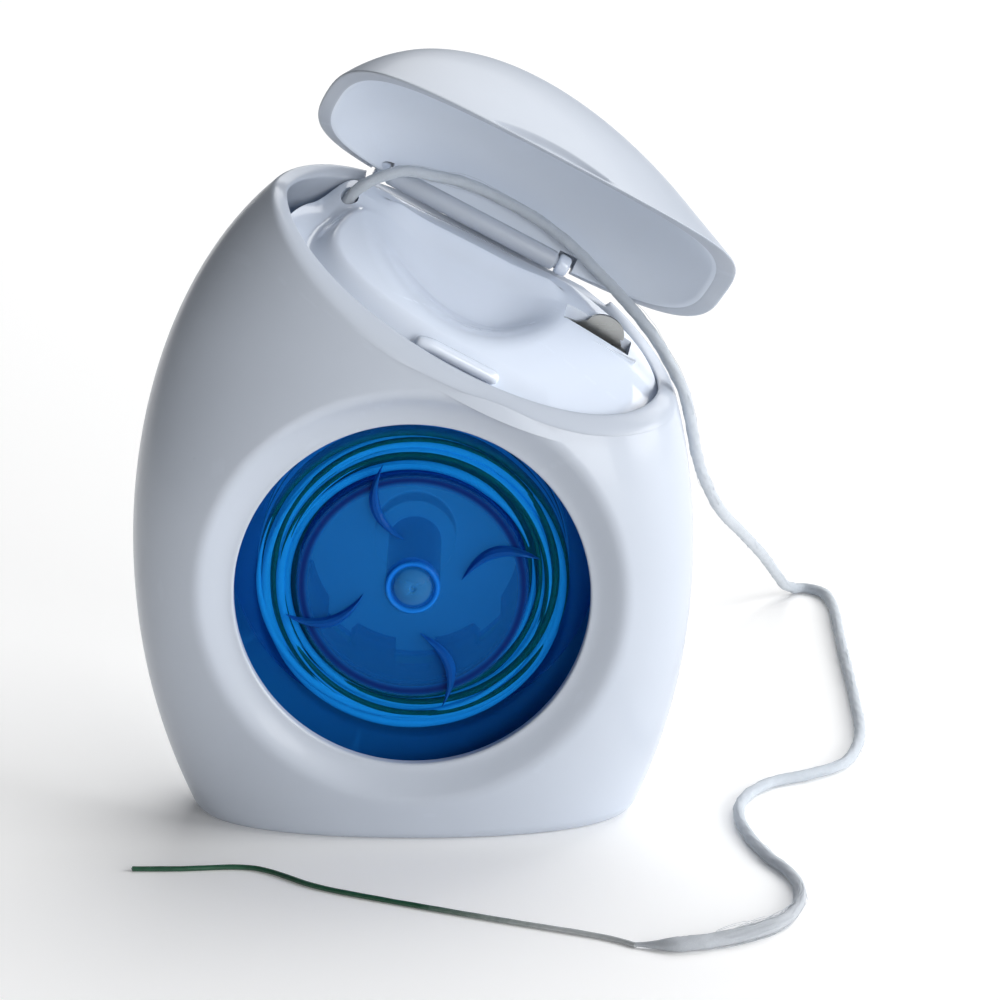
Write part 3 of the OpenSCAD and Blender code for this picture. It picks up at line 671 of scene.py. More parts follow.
def spongy_floss(name, colour, shade_colour, glow=0.0, greyer=0.0):
    """Soft bundle of crimped filaments: long streaks, fuzz and dull sheen."""
    g = Graph(name)
    fibre = g.noise(5200, 3, 0.6, distortion=1.4)
    clump = g.noise(1100, 4, 0.6)
    base = g.mix((fibre * 0.6 + clump * 0.4) ** 1.3, shade_colour, colour)
    # with greyer, the strand goes greyer towards its front end, from y = -6 mm to fully grey at y = -30 mm
    if greyer:
        combed = ((-0.006 - g.axis("Y")) / 0.024).clamp() * greyer
        base = g.mix(combed, base, g.mix(fibre, (0.3, 0.32, 0.35), (0.46, 0.48, 0.51)))
    rough = 0.72 + fibre * 0.2
    bump = g.bump(0.4, 0.0001, fibre * 0.7 + clump * 0.6)
    # with a glow, the floss carries a blue painted glow
    shader = g.principled(Base_Color=base, Roughness=rough, Normal=bump, Sheen_Weight=0.25,
                          Sheen_Roughness=0.5, Emission_Color=(0.02, 0.35, 1), Emission_Strength=glow)
    return g.finish(shader)


def stiff_floss(name, colour, pale=None, fade_from=0.0, fade_to=1.0):
    """Smooth stiffened filament, dark, going to grey where it joins the spongy part."""
    g = Graph(name)
    streak = g.noise(1500, 3)
    base = g.mix(streak, scaled(colour, 0.6), scaled(colour, 1.6))
    if pale:
        along = ((g.axis("X") - fade_from) / (fade_to - fade_from) + (streak - 0.5) * 0.5).clamp()
        base = g.mix(along, base, pale)
    bump = g.bump(0.2, 0.00005, streak)
    shader = g.principled(Base_Color=base, Roughness=0.38 + streak * 0.15, Normal=bump, Coat_Weight=0.2)
    return g.finish(shader)


def floor_paint(colour):
    """Matt pale paint with soft clouding and a faint light of its own."""
    g = Graph("studio_floor")
    soft = g.noise(6, 3)
    base = g.mix(soft, scaled(colour, 0.985), colour)
    shader = g.principled(Base_Color=base, Roughness=0.85 + soft * 0.05,
                          Emission_Color=(1, 1, 1), Emission_Strength=0.08, Specular_IOR_Level=0.2)
    return g.finish(shader)


def finish_of(key):
    """Finish by name, made once and shared by the operators."""
    colours = bpy.context.scene.dispenser_colours
    plastic, spongy = tuple(colours.plastic), tuple(colours.spongy)
    makers = {
        "moulded_white": lambda: moulded_plastic(key, plastic),
        # the back wall's inside carries a painted glow
        "rear_white": lambda: moulded_plastic(key, plastic, glow=0.34),
        # painted light: the deck uses the case's plastic made 1.46 times lighter
        "deck_moulding": lambda: moulded_plastic(key, scaled(plastic, 1.46), roughness=0.24, coat=0.9),
        "lid_plastic": lambda: lid_plastic(plastic),
        "clear_blue": lambda: clear_blue(key, tuple(colours.spool), 0.05, (0.36, 0.8, 1, 1), zones=True),
        # painted shade: a darker, more solid copy of the clear blue for the core and fins, standing in for how they
        # look through thicker plastic
        "shaded_clear_blue": lambda: clear_blue(key, (0.002, 0.014, 0.2), 0.5, (0.12, 0.3, 0.9, 1)),
        "stamped_steel": lambda: steel(tuple(colours.steel), key),
        # painted shadow: near-black steel for the blocks that stand in for the shade inside the slot
        "shaded_steel": lambda: steel(SLOT_SHADOW_GREY, key),
        "spongy_white": lambda: spongy_floss(key, spongy, scaled(spongy, 0.72), greyer=0.75),
        # painted light: the wound floss is a lighter copy of the spongy floss with a blue painted glow, standing in
        # for light inside the case behind the disc
        "wound_white": lambda: spongy_floss(key, (0.88, 0.92, 0.92), (0.5, 0.62, 0.68), glow=0.16),
        "stiff_green": lambda: stiff_floss(key, tuple(colours.stiff), (0.42, 0.44, 0.45), 0.0005, 0.0125),
        "wound_green": lambda: stiff_floss(key, (0.006, 0.14, 0.02)),
    }
    return bpy.data.materials.get(key) or makers[key]()


# ---------------------------------------------------------------- routes of the floss

STRAND_ROUTE = [
    [-6.0, 4.4, 55.7], [-5.2, 4.4, 56.9], [-3.9, 4.5, 57.8], [-2.2, 4.9, 58.4], [-0.4, 5.8, 58.5],
    [1.7, 7, 57.8], [4.6, 8, 56.9], [7.6, 8.6, 55.4], [11, 8.4, 53.5], [14, 7.4, 51.4],
    [17.2, 5.6, 48.6], [19.6, 4, 46.3], [21.7, 2.4, 43.9], [23.1, 1.2, 41.7], [24.2, 0.6, 39.6],
    [24.9, 1.6, 36.6], [25.6, 4.6, 32.6], [26.6, 10, 28.4], [28.6, 20, 22.2], [31.4, 34, 15.4],
    [34.2, 47, 8.8], [36.2, 56, 3.7], [37.4, 60, 1.3], [39.3, 61.6, 0.55], [41.2, 59.8, 0.55],
    [41.9, 55, 0.55], [42, 42, 0.55], [42.2, 28, 0.55], [42, 17.6, 0.55], [40.2, 10.4, 0.55], [36.6, 7, 0.55],
    [32.6, 4.6, 0.55], [30, 0, 0.55], [29.7, -5.6, 0.55], [31.3, -12.6, 0.55], [33.6, -18.4, 0.55],
    [34, -23.6, 0.55], [32.2, -28.8, 0.55], [28.4, -32.2, 0.55], [23.6, -34.2, 0.55],
    [19.4, -33.6, 0.55],
]
THREADER_ROUTE = [
    [19.4, -33.6, 0.3], [16.4, -31.6, 0.25], [7.6, -27.8, 0.25], [-0.4, -24.2, 0.25],
    [-8, -20.4, 0.25], [-12.6, -16.6, 0.25], [-15.4, -15.6, 0.25], [-20.6, -16, 0.25],
    [-24.8, -16, 0.25],
]
LEAD_ROUTE = [[-4.6, 0.6, 38.4], [-5.2, 1.6, 43.5], [-5.6, 3.2, 49.5], [-5.6, 4.4, 54.6], [-5.6, 4.4, 56.2]]


def uneven(s, seed, waves):
    """Seeded unevenness between about -1 and 1 along a length s."""
    rng = np.random.default_rng(seed)
    total = np.zeros_like(s)
    for wave in waves:
        total += np.sin(s * 2 * math.pi / wave + rng.uniform(0, 2 * math.pi)) * rng.uniform(0.6, 1)
    return total / len(waves)


# ---------------------------------------------------------------- operators


class DISPENSER_OT_camera(bpy.types.Operator):
    """Camera at the picture's viewing angle"""

    bl_idname = "dispenser.camera"
    bl_label = "Camera"

    def execute(self, context):
        target = Vector((7.8, 0.0, 29.5)) * MM
        elevation = math.radians(17.5)
        back = Vector((0, -math.cos(elevation), math.sin(elevation)))
        data = bpy.data.cameras.new("camera")
        data.lens, data.sensor_width, data.sensor_fit = 180, 36, "HORIZONTAL"
        data.clip_start, data.clip_end = 0.01, 20
        camera = bpy.data.objects.new("camera", data)
        camera.location = target + back * 0.45
        camera.rotation_euler = back.to_track_quat("Z", "Y").to_euler()
        context.scene.collection.objects.link(camera)
        context.scene.camera = camera
        return {"FINISHED"}


class DISPENSER_OT_strand(bpy.types.Operator):
    """Spongy strand from the exit hole, over the mouth's low rim and over the table"""

    bl_idname = "dispenser.strand"
    bl_label = "Loose strand"

    def execute(self, context):
        width = context.scene.floss_sizes.strand / MM
        line = spline_through(STRAND_ROUTE, 0.3)
        s = lengths_along(line)
        total = s[-1]
        # the last stretch before the stiff end is combed out flat, then it tapers
        combed, narrowing, taper = 17, 4.2, 3.6
        wide = smooth((s - (total - combed)) / 6) * (1 - smooth((s - (total - narrowing)) / narrowing))
        radius = width / 2 * (0.93 + 0.05 * uneven(s, 3, (2.3, 3.7, 7.9)) + 0.5 * wide)
        radius *= 1 - 0.62 * smooth((s - (total - taper)) / taper)
        flat = 1 - 0.2 * wide
        waver = [uneven(s, 5, (1.9, 4.3)), uneven(s, 6, (2.1, 5.2)), np.zeros_like(s)]
        line = line + 0.03 * np.stack(waver, -1)
        on_table = s > s[np.argmax(line[:, 2] < 1.0)]
        resting = np.maximum(radius * flat + 0.01, line[:, 2] * 0.4 + radius * flat * 0.6)
        line[:, 2] = np.where(on_table, resting, line[:, 2])
        sides = 20
        points, faces = tube(line, radius, sides)
        # filaments stand out of the surface by a little
        rings = points[: len(line) * sides].reshape(len(line), sides, 3)
        centre = line[:, None]
        rng = np.random.default_rng(11)
        fuzz = 1 + 0.07 * (rng.random((len(line), sides)) - 0.35)
        fuzz = fuzz + 0.04 * np.sin(np.arange(sides)[None, :] * 2 * math.pi / sides * 5 + s[:, None] * 2.1)
        rings = centre + (rings - centre) * fuzz[..., None]
        pressed = centre[..., 2] + (rings[..., 2] - centre[..., 2]) * flat[:, None]
        rings[..., 2] = np.where(on_table[:, None], pressed, rings[..., 2])
        points[: len(line) * sides] = rings.reshape(-1, 3)
        points[:, 2] = np.maximum(points[:, 2], 0.012)
        finish = finish_of("spongy_white")
        piece = new_piece("loose_strand", points, faces, [finish], "case", "floss_white",
                          ["floss_strand"], 60, weld=False)
        threads = self.filaments(line, radius)
        hair = new_piece("strand_filaments", *threads, [finish], "case", "floss_white", crease=80, weld=False)
        return {"FINISHED"}

    def filaments(self, line, radius):
        """Single fine filaments that leave the bundle and come back to it."""
        rng = np.random.default_rng(21)
        _, n, b = frames_along(line)
        parts = []
        for _ in range(150):
            near_end = rng.random() < 0.45
            start = rng.integers(int(len(line) * (0.9 if near_end else 0.02)), int(len(line) * 0.985) - 24)
            count = int(rng.integers(8, 22))
            span = np.arange(start, start + count)
            a0, turn = rng.uniform(0, 2 * math.pi), rng.uniform(-0.5, 0.5)
            a = a0 + turn * np.linspace(0, 1, count)
            lift = 1 + np.sin(np.linspace(0, math.pi, count)) * rng.uniform(0.1, 0.42)
            r = (radius[span] * lift)[:, None]
            path = line[span] + r * (np.cos(a)[:, None] * n[span] + np.sin(a)[:, None] * b[span])
            path[:, 2] = np.maximum(path[:, 2], 0.03)
            parts.append(tube(path, 0.02, 3))
        return joined(*parts)


class DISPENSER_OT_threader(bpy.types.Operator):
    """Stiff dark green end of the strand"""

    bl_idname = "dispenser.threader"
    bl_label = "Stiff end"

    def execute(self, context):
        width = context.scene.floss_sizes.threader / MM
        line = spline_through(THREADER_ROUTE, 0.5)
        s = lengths_along(line)
        radius = width / 2 * (0.95 + 0.04 * uneven(s, 8, (3.1, 6.7, 13)))
        line[:, 2] = radius + 0.01
        piece = new_piece("stiff_end", *tube(line, radius, 12), [finish_of("stiff_green")], "case",
                          "threader_green", ["floss_threader"], 60, weld=False)
        (line[::3] * MM).tolist() + [(line[-1] * MM).tolist()]
        return {"FINISHED"}


class DISPENSER_OT_front_shell(bpy.types.Operator):
    """Front half of the case with the dished round window"""

    bl_idname = "dispenser.front_shell"
    bl_label = "Front shell"

    def execute(self, context):
        form = CaseForm(context.scene.case_sizes)
        sizes = context.scene.window_sizes
        r_win, dish = sizes.width / MM / 2, sizes.dish / MM
        wall, lip = form.wall, form.lip
        # stations round the window: along the rim, down the left seam, along the foot, up the right seam
        kinds, phi, a, z_out, z_in = [], [], [], [], []
        for kind, count, phi_from, phi_to in (("rim", 151, 39, 111), ("left", 70, 111, 228),
                                              ("foot", 121, 228, 312), ("right", 60, 312, 399)):
            u = np.linspace(0, 1, count) if kind in ("rim", "foot") else np.linspace(0, 1, count + 2)[1:-1]
            phi += list(np.radians(phi_from + (phi_to - phi_from) * u))
            kinds += [kind] * len(u)
            if kind == "rim":
                angle = 2 * math.pi - math.pi * u
                outer, inner = form.rim(angle, 0.0, -lip), form.rim(angle, wall, -lip)
            elif kind == "foot":
                angle = math.pi + math.pi * u
                outer, inner = np.full(len(u), FOOT_R), np.full(len(u), wall)
            else:
                angle = np.full(len(u), math.pi if kind == "left" else 2 * math.pi - 1e-9)
                tops = [float(form.rim(angle[0], inset, -lip)) for inset in (0.0, wall)]
                down = u if kind == "left" else 1 - u
                outer, inner = tops[0] + (FOOT_R - tops[0]) * down, tops[1] + (wall - tops[1]) * down
            a += list(angle)
            z_out += list(outer)
            z_in += list(inner)
        kinds, phi, a, z_out, z_in = (np.array(row) for row in (kinds, phi, a, z_out, z_in))
        seam = np.isin(kinds, ("left", "right"))

        def spokes(r0, inset, z1, rows, ease):
            x0, z0 = r0 * np.cos(phi), WINDOW_Z + r0 * np.sin(phi)
            a0 = form.front_angle(x0, z0, inset)
            t = ease(np.linspace(1, 0, rows))[None, :]
            turned = a0[:, None] + (a[:, None] - a0[:, None]) * t
            return form.section(turned, z0[:, None] + (z1[:, None] - z0[:, None]) * t, inset)

        r_out = r_win + dish * 1.2
        outer = spokes(r_out, 0.0, z_out, 60, lambda t: 1 - (1 - t) ** 1.12)
        # thin chamfer along the seam
        edge = form.section(a, z_out, 0.1)
        outer[seam, 0] = edge[seam]
        r = np.linspace(r_out, r_win + 0.25, 26)[1:]
        x, z = r[None, :] * np.cos(phi)[:, None], WINDOW_Z + r[None, :] * np.sin(phi)[:, None]
        share = ((r - r_win - 0.25) / (dish - 0.25)) ** 1.7
        near = np.clip(0.5 + (1 - share) / 0.7, 0, 1)
        depth = share * near + (1 - near) - 0.35 * near * (1 - near)
        y = WINDOW_Y + (form.front_y(x, z) - WINDOW_Y) * depth[None, :]
        ring = np.stack([x, y, z], -1)

        def circle(radius, depth_y):
            return np.stack([radius * np.cos(phi), np.full(len(phi), depth_y), WINDOW_Z + radius * np.sin(phi)], -1)

        lip_turn = [circle(r_win + 0.25 * (1 - math.sin(t)), WINDOW_Y + 0.25 * (1 - math.cos(t)))
                    for t in np.radians((22, 45, 68, 90))]
        back = lip_turn + [circle(r_win, WINDOW_Y + 0.9), circle(r_win + 1.2, WINDOW_Y + 0.9)]
        inner = spokes(20.3, wall, z_in, 16, lambda t: t)[:, ::-1]
        strip = self.strip(form, kinds, a, outer[:, 0], inner[:, -1])
        columns = np.concatenate([outer, ring, np.stack(back, 1), inner, strip], 1)
        faces = grid_faces(columns.shape[0], columns.shape[1], True, True)
        boss = [(0.98, -3.3), (0.98, -0.1), (1.9, -0.1), (2.0, -0.2), (2.0, -3.3)]
        points, faces = joined((columns, faces), *form.studs(boss, True))
        finish = finish_of("moulded_white")
        new_piece("front_case", points, faces, [finish], "case", "shell_white", ["front_shell"], 32)
        return {"FINISHED"}

    def strip(self, form, kinds, a, outer, inner):
        """Points from the inner edge of each station to its outer edge: over the rim, the seam or the floor."""
        wall, lip, count = form.wall, form.lip, 13
        made = inner[:, None] + (outer - inner)[:, None] * np.linspace(0, 1, count + 2)[None, 1:-1, None]
        rim = kinds == "rim"
        turn = np.linspace(0, math.pi, count + 2)[1:-1]
        inset = wall / 2 * (1 + np.sign(np.cos(turn)) * np.abs(np.cos(turn)) ** 0.7)
        lift = -lip + lip * np.sin(turn) ** 0.7
        for k in range(count):
            z = form.rim(a[rim], inset[k], lift[k])
            made[rim, k] = form.section(a[rim], z, inset[k])
        foot = kinds == "foot"
        floor_in = form.section(a[foot], wall, wall)
        floor_out = form.section(a[foot], 0.0, FOOT_R)
        rows = (floor_in * [0.6, 0.6, 1], [0, 0, wall], np.zeros(3), floor_out * 0.55, floor_out)
        for k, row in enumerate(rows):
            made[foot, k] = row
        for k in range(5, count):
            t = math.radians(90 * (k - 4) / (count - 4))
            made[foot, k] = form.section(a[foot], FOOT_R * (1 - math.cos(t)), FOOT_R * (1 - math.sin(t)))
        return made


class DISPENSER_OT_rear_shell(bpy.types.Operator):
    """Closed back half of the case, with its spindle and pins"""

    bl_idname = "dispenser.rear_shell"
    bl_label = "Rear shell"

    def execute(self, context):
        form = CaseForm(context.scene.case_sizes)
        wall, lip = form.wall, form.lip
        a = np.linspace(0, math.pi, 301)
        column = [np.zeros((len(a), 3)), form.section(a, 0.0, FOOT_R) * 0.5]
        for t in np.radians(np.linspace(0, 90, 7)):
            column.append(form.section(a, FOOT_R * (1 - math.cos(t)), FOOT_R * (1 - math.sin(t))))
        top = form.rear_rim(a, 0.0, -lip)
        rows = 64
        for k in range(1, rows + 1):
            column.append(form.section(a, FOOT_R + (top - FOOT_R) * k / rows, 0.0))
        turn = np.linspace(0, math.pi, 17)[1:-1]
        inset = wall / 2 * (1 - np.sign(np.cos(turn)) * np.abs(np.cos(turn)) ** 0.7)
        lift = -lip + lip * np.sin(turn) ** 0.7
        for i, up in zip(inset, lift):
            column.append(form.section(a, form.rear_rim(a, i, up), i))
        low = form.rear_rim(a, wall, -lip)
        for k in range(rows, -1, -1):
            column.append(form.section(a, wall + (low - wall) * k / rows, wall))
        flat = column[-1]
        for share in (0.9, 0.75, 0.6, 0.45, 0.3, 0.15):
            column.append(flat * [share, share, 1])
        column.append(np.broadcast_to([0, 0, wall], (len(a), 3)))
        grid = np.stack(column, 1)
        count = grid.shape[1]
        faces = grid_faces(len(a), count)
        # flat seam at both ends: pair outer points with inner ones
        for j in (0, len(a) - 1):
            for k in range(count // 2 - 1):
                faces.append([j * count + v for v in (k, k + 1, count - 2 - k, count - 1 - k)])
        pin = [(0, 3.3), (2.0, 3.3), (2.0, 0.2), (1.9, 0.1), (0.9, 0.1), (0.9, -1.9), (0.7, -2.2), (0, -2.2)]
        points, faces = joined((grid, faces), self.post(form), *form.studs(pin, False))
        finish = finish_of("rear_white")
        piece = new_piece("rear_case", points, faces, [finish], "case", "shell_white", ["rear_shell"], 32)
        mark_inside(piece, [float(face.normal.y < -0.3) for face in piece.data.polygons])
        return {"FINISHED"}

    def post(self, form):
        """Spindle with the shoulder that the spool runs against."""
        base, tip = 7.4, INNER_Y + 0.3
        root, neck = form.half_t - 0.7, form.half_t - 1.6
        profile = [(0, root), (4.1, root), (3.75, neck), (3.75, base + 0.15), (3.6, base), (1.75, base),
                   (1.6, base - 0.15), (1.6, tip + 0.3), (1.3, tip), (0, tip)]
        return lathe(profile, 64, False)


class DISPENSER_OT_deck(bpy.types.Operator):
    """Deck in the mouth: finger scoop, moat, exit hole, cutter slot, snap rib and hinge ears"""

    bl_idname = "dispenser.deck"
    bl_label = "Deck"

    def execute(self, context):
        form = CaseForm(context.scene.case_sizes)
        inset = form.wall + 0.03
        a = round_turn(420)
        edge = form.section(a, form.deck_edge(a, inset), inset)

        def sheet(r, drop):
            x, y = (middle + (edge[:, None, k] - middle) * r[None, :] for k, middle in enumerate(DECK_CENTRE))
            return np.stack([x, y, deck_top(x, y, r[None, :]) - drop], -1)

        top, under = sheet(1 - np.linspace(0, 1, 150) ** 1.05, 0), sheet(np.linspace(0, 1, 30), DECK_SHEET)
        grid = np.concatenate([top, under], 1)
        faces = grid_faces(len(a), grid.shape[1], True, True)
        finish = finish_of("deck_moulding")
        piece = new_piece("deck_insert", grid, faces, [finish], "case", "deck_white", ["deck"], 34)
        slot = (*SLOT, float(deck_plane(*SLOT)))
        carve(piece, *box_on_slope(*slot, (8.4, 3.6, 1.9), (0, 0, -2.2), 0.3), "UNION", 34)
        carve(piece, *box_on_slope(*slot, (6.8, 2.0, 5), (0, 0, -1.6), 0.12), crease=34)
        carve(piece, *self.exit_hole(0.8, 48), crease=34)
        new_piece("snap_rib", *self.rib(), [finish], "case", "deck_white", crease=50)
        ears = joined(*[bar(0.95, sorted((side * 8.65, side * 9.85)), 0.3, 40) for side in (-1, 1)])
        new_piece("hinge_ears", *ears, [finish], "case", "deck_white", crease=50)
        return {"FINISHED"}

    def exit_hole(self, radius, count):
        x, y = EXIT_HOLE
        z = float(deck_plane(x, y))
        turn = round_turn(count)
        rings = [[x + radius * math.cos(k), y + radius * math.sin(k), z + h] for h in (-4, 3) for k in turn]
        caps = [list(range(count))[::-1], list(range(count, 2 * count))]
        return rings, grid_faces(2, count, False, True) + caps

    def rib(self):
        """Capsule along the deck's front edge, low at its high end and blunt at the other."""
        centre = np.array([3.9, -8.0, float(deck_plane(3.9, -8.0))]) + UPWARD * 0.32
        s = np.linspace(-1, 1, 60)
        line = centre + (s * 4.1)[:, None] * ALONG
        radius = 0.66 * np.sqrt(np.maximum(0.0004, 1 - np.abs(s) ** 16))
        line = line + (-0.28 * smooth((-s - 0.55) / 0.45))[:, None] * UPWARD
        return tube(line, radius, 32)


class DISPENSER_OT_lid(bpy.types.Operator):
    """Domed lid with its thumb recess and hinge knuckle, standing open"""

    bl_idname = "dispenser.lid"
    bl_label = "Lid"

    def execute(self, context):
        sizes = context.scene.case_sizes
        form = CaseForm(sizes)
        wall, gap = form.wall, LID_GAP
        a = round_turn(480)
        curve = np.concatenate([np.linspace(0, 0.07, 30), np.linspace(0.07, 1, 78)[1:]])

        def skin(inset, lift):
            low, high = form.rim(a, inset, lift), form.apex - inset
            z = low[:, None] + (high - low)[:, None] * (1 - (1 - curve[None, :]) ** 2)
            return form.section(a[:, None], z, inset)

        outer = self.thumb_recess(skin(0.0, gap + RIM_ROUND))[:, ::-1]
        outer[:, 0] = [0, 0, form.apex]
        rim = []
        turn = np.radians(np.linspace(0, 90, 7)[1:])
        for t, start, way in [(t, 0, 1) for t in turn] + [(t, wall, -1) for t in turn[::-1]]:
            inset, lift = start + way * RIM_ROUND * (1 - math.cos(t)), gap + RIM_ROUND * (1 - math.sin(t))
            rim.append(form.section(a, form.rim(a, inset, lift), inset))
        inner = skin(wall, gap + RIM_ROUND)
        inner[:, -1] = [0, 0, form.apex - wall]
        grid = np.concatenate([outer, np.stack(rim, 1), inner], 1)
        inner_face = np.zeros((len(a), grid.shape[1] - 1))
        inner_face[:, len(curve) + 8:] = 1
        self.turn = np.array(Matrix.Rotation(-sizes.lid_open, 3, Vector(ALONG))).T
        finish = finish_of("lid_plastic")
        faces = grid_faces(len(a), grid.shape[1], True, False)
        piece = new_piece("open_lid", self.opened(grid), faces, [finish], "lid", "lid_white", ["lid"], 38, weld=False)
        mark_inside(piece, inner_face.ravel())
        weld_points(piece.data)
        shade(piece, 38)
        for side in (-1, 1):
            points, faces = bar(1.15, sorted((side * 8.5, side * 10.2)), 0.05, 40)
            carve(piece, self.opened(points), faces, crease=38)
        pins = [bar(0.6, (low, low + 1.4), 0.1, 32) for low in (-9.8, 8.4)]
        bead, faces = joined(bar(0.9, (-8.5, 8.5), 0.3), *pins)
        new_piece("hinge_bead", self.opened(bead), faces, [finish], "lid", "lid_white", crease=38)
        return {"FINISHED"}

    def opened(self, points):
        """Points of the shut lid, turned open about the hinge."""
        return HINGE + (np.asarray(points).reshape(-1, 3) - HINGE) @ self.turn

    def thumb_recess(self, grid):
        """Pushes a thin crescent of the outside in, just above the front rim."""
        middle, reach, height, depth = 2.4, 6.0, 1.9, 0.5
        u = (grid[..., 0] - middle) / reach
        above = grid[..., 2] - parting(grid[..., 0], grid[..., 1]) - LID_GAP
        top = height * np.maximum(0.001, 1 - u * u)
        push = depth * smooth((1 - above / top) / 0.4) * smooth((above - RIM_ROUND) / 0.5)
        grid[..., 1] += np.where((np.abs(u) < 1) & (grid[..., 1] < 0), push, 0)
        return grid


class DISPENSER_OT_cutter(bpy.types.Operator):
    """Stamped cutter blade pressed into the deck's slot"""

    bl_idname = "dispenser.cutter"
    bl_label = "Cutter"

    def execute(self, context):
        half = 3.3
        outline = [(-half, -1.6), (half, -1.6), (half, -0.4), (half - 0.45, -0.34), (half - 0.75, 0.05),
                   (half - 1.0, 0.32)]
        outline += [(0.7 + 1.9 * math.cos(t), 0.3 + 1.5 * math.sin(t)) for t in np.radians(np.linspace(4, 172, 34))]
        outline += [(-half + 1.2, -0.1), (-half, -0.3)]
        origin = np.array([*SLOT, float(deck_plane(*SLOT))])
        centre = np.mean(outline, 0)
        points = [origin + ALONG * (u + (centre[0] - u) * shrink * 0.6) + SIDEWAYS * y
                  + UPWARD * (v + (centre[1] - v) * shrink)
                  for y, shrink in ((0.5, 0.05), (0.55, 0.0), (0.85, 0.0), (0.9, 0.05)) for u, v in outline]
        n = len(outline)
        faces = grid_faces(4, n, False, True) + [list(range(n))[::-1], list(range(3 * n, 4 * n))]
        new_piece("blade", points, faces, [finish_of("stamped_steel")], "case", "blade_steel", ["cutter_blade"], 25)
        # dark strip along the slot's front edge and a plate on its floor: painted shadow standing in for the shade
        # inside the slot
        base = joined(box_on_slope(*origin, (6.3, 0.4, 0.3), (0, -0.72, -0.5), 0.08),
                      box_on_slope(*origin, (6.6, 1.8, 0.25), (0, 0, -0.95), 0.08))
        new_piece("slot_shadow_block", *base, [finish_of("shaded_steel")], "case", "blade_steel", crease=25)
        return {"FINISHED"}


class DISPENSER_OT_spool(bpy.types.Operator):
    """Clear blue spool: front disc with hub and fins, notched core and rear flange"""

    bl_idname = "dispenser.spool"
    bl_label = "Clear spool"

    def execute(self, context):
        # the core and the fins take the darker copy of the clear blue, as painted shade
        clear, shaded_clear = finish_of("clear_blue"), finish_of("shaded_clear_blue")
        # gate mark, domed hub with its ring, flat face, rounded edge and flat back
        raised = ((0, 0.62), (0.22, 0.6), (0.3, 0.72), (0.5, 0.78), (0.9, 0.72), (1.3, 0.56), (1.62, 0.34),
                  (1.8, 0.2), (1.95, 0.22), (2.1, 0.38), (2.25, 0.42), (2.38, 0.36), (2.46, 0.1),
                  (2.6, 0), (6.0, 0), (10, 0), (14, 0), (16.6, 0))
        disc = [(r, FACE_Y - up) for r, up in raised]
        disc += [(16.85, -5.94), (17, -5.75), (17, -5.1), (16.85, -4.94)]
        disc += [(r, INNER_Y) for r in (16.6, 12, 6, 2.0, 0)]
        new_piece("spool_disc", *lathe(disc, 192, False), [clear], "spool", "spool_blue", ["spool_wheel"], 30)
        start = INNER_Y + 0.02
        core = [(9.5, y) for y in np.linspace(start, CORE_END, 10)]
        core += [(10.3, y) for y in np.linspace(CORE_END, start, 10)]
        wall = new_piece("spool_core", *lathe(core, 192), [shaded_clear], "spool", "spool_blue", crease=30)
        box_faces = [[0, 1, 3, 2], [4, 6, 7, 5], [0, 4, 5, 1], [2, 3, 7, 6], [0, 2, 6, 4], [1, 5, 7, 3]]
        cuts = []
        for k in range(8):
            t = math.radians(45 * k)
            along, across = np.array([math.cos(t), 0, math.sin(t)]), np.array([-math.sin(t), 0, math.cos(t)])
            corners = [along * u + across * v + np.array([0, y, WINDOW_Z])
                       for u in (7.5, 12) for v in (-1.8, 1.8) for y in (0.1, 9.0)]
            cuts.append((corners, box_faces))
        carve(wall, *joined(*cuts), crease=30)
        hub = [(1.66, start), (1.66, CORE_END), (2.3, CORE_END), (2.45, CORE_END - 0.15), (2.45, start)]
        new_piece("spool_hub", *lathe(hub, 96), [clear], "spool", "spool_blue", crease=30)
        edge = ((10.36, 0), (16.8, 0), (17, 0.2), (17, 0.9), (16.8, 1.1), (10.36, 1.1))
        flange = [(r, REAR_Y + y) for r, y in edge]
        new_piece("rear_flange", *lathe(flange, 192), [clear], "spool", "spool_blue", ["spool_flange"], 30)
        count = context.scene.window_sizes.fins
        fins = joined(*[self.fin(context, 2 * math.pi * k / count) for k in range(count)])
        new_piece("finger_fins", *fins, [shaded_clear], "spool", "spool_blue", crease=28)
        return {"FINISHED"}

    def fin(self, context, turn):
        """Curved crescent with sharp tips and a ridge along its top."""
        thick = context.scene.window_sizes.fin_thickness / MM
        near, far = (r * np.array([math.cos(math.radians(t)), math.sin(math.radians(t))])
                     for r, t in ((4.4, 7.8), (11.7, 12.5)))
        along = (far - near) / np.linalg.norm(far - near)
        across = np.array([-along[1], along[0]])
        t = np.linspace(0, 1, 33)
        bow = 4 * t * (1 - t)
        lift = 0.9 * np.minimum(1, 1.5 * bow ** 0.55) * (0.75 + 0.25 * bow)
        rows = []
        for v, h in ((0, 0), (0.06, 0.8), (0.3, 1.0), (0.62, 0.97), (0.9, 0.62), (1, 0)):
            flat = near + (far - near) * t[:, None] + across * ((1.3 + thick * v) * bow)[:, None]
            rows.append(np.stack([flat[:, 0], FACE_Y + 0.01 - lift * h, flat[:, 1]], -1))
        grid = np.stack(rows, 1)
        c, s = math.cos(turn), math.sin(turn)
        x, z = grid[..., 0] * c - grid[..., 2] * s, grid[..., 0] * s + grid[..., 2] * c
        grid = np.stack([x, grid[..., 1], z + WINDOW_Z], -1)
        return grid.reshape(-1, 3), grid_faces(len(t), 6, False, True)


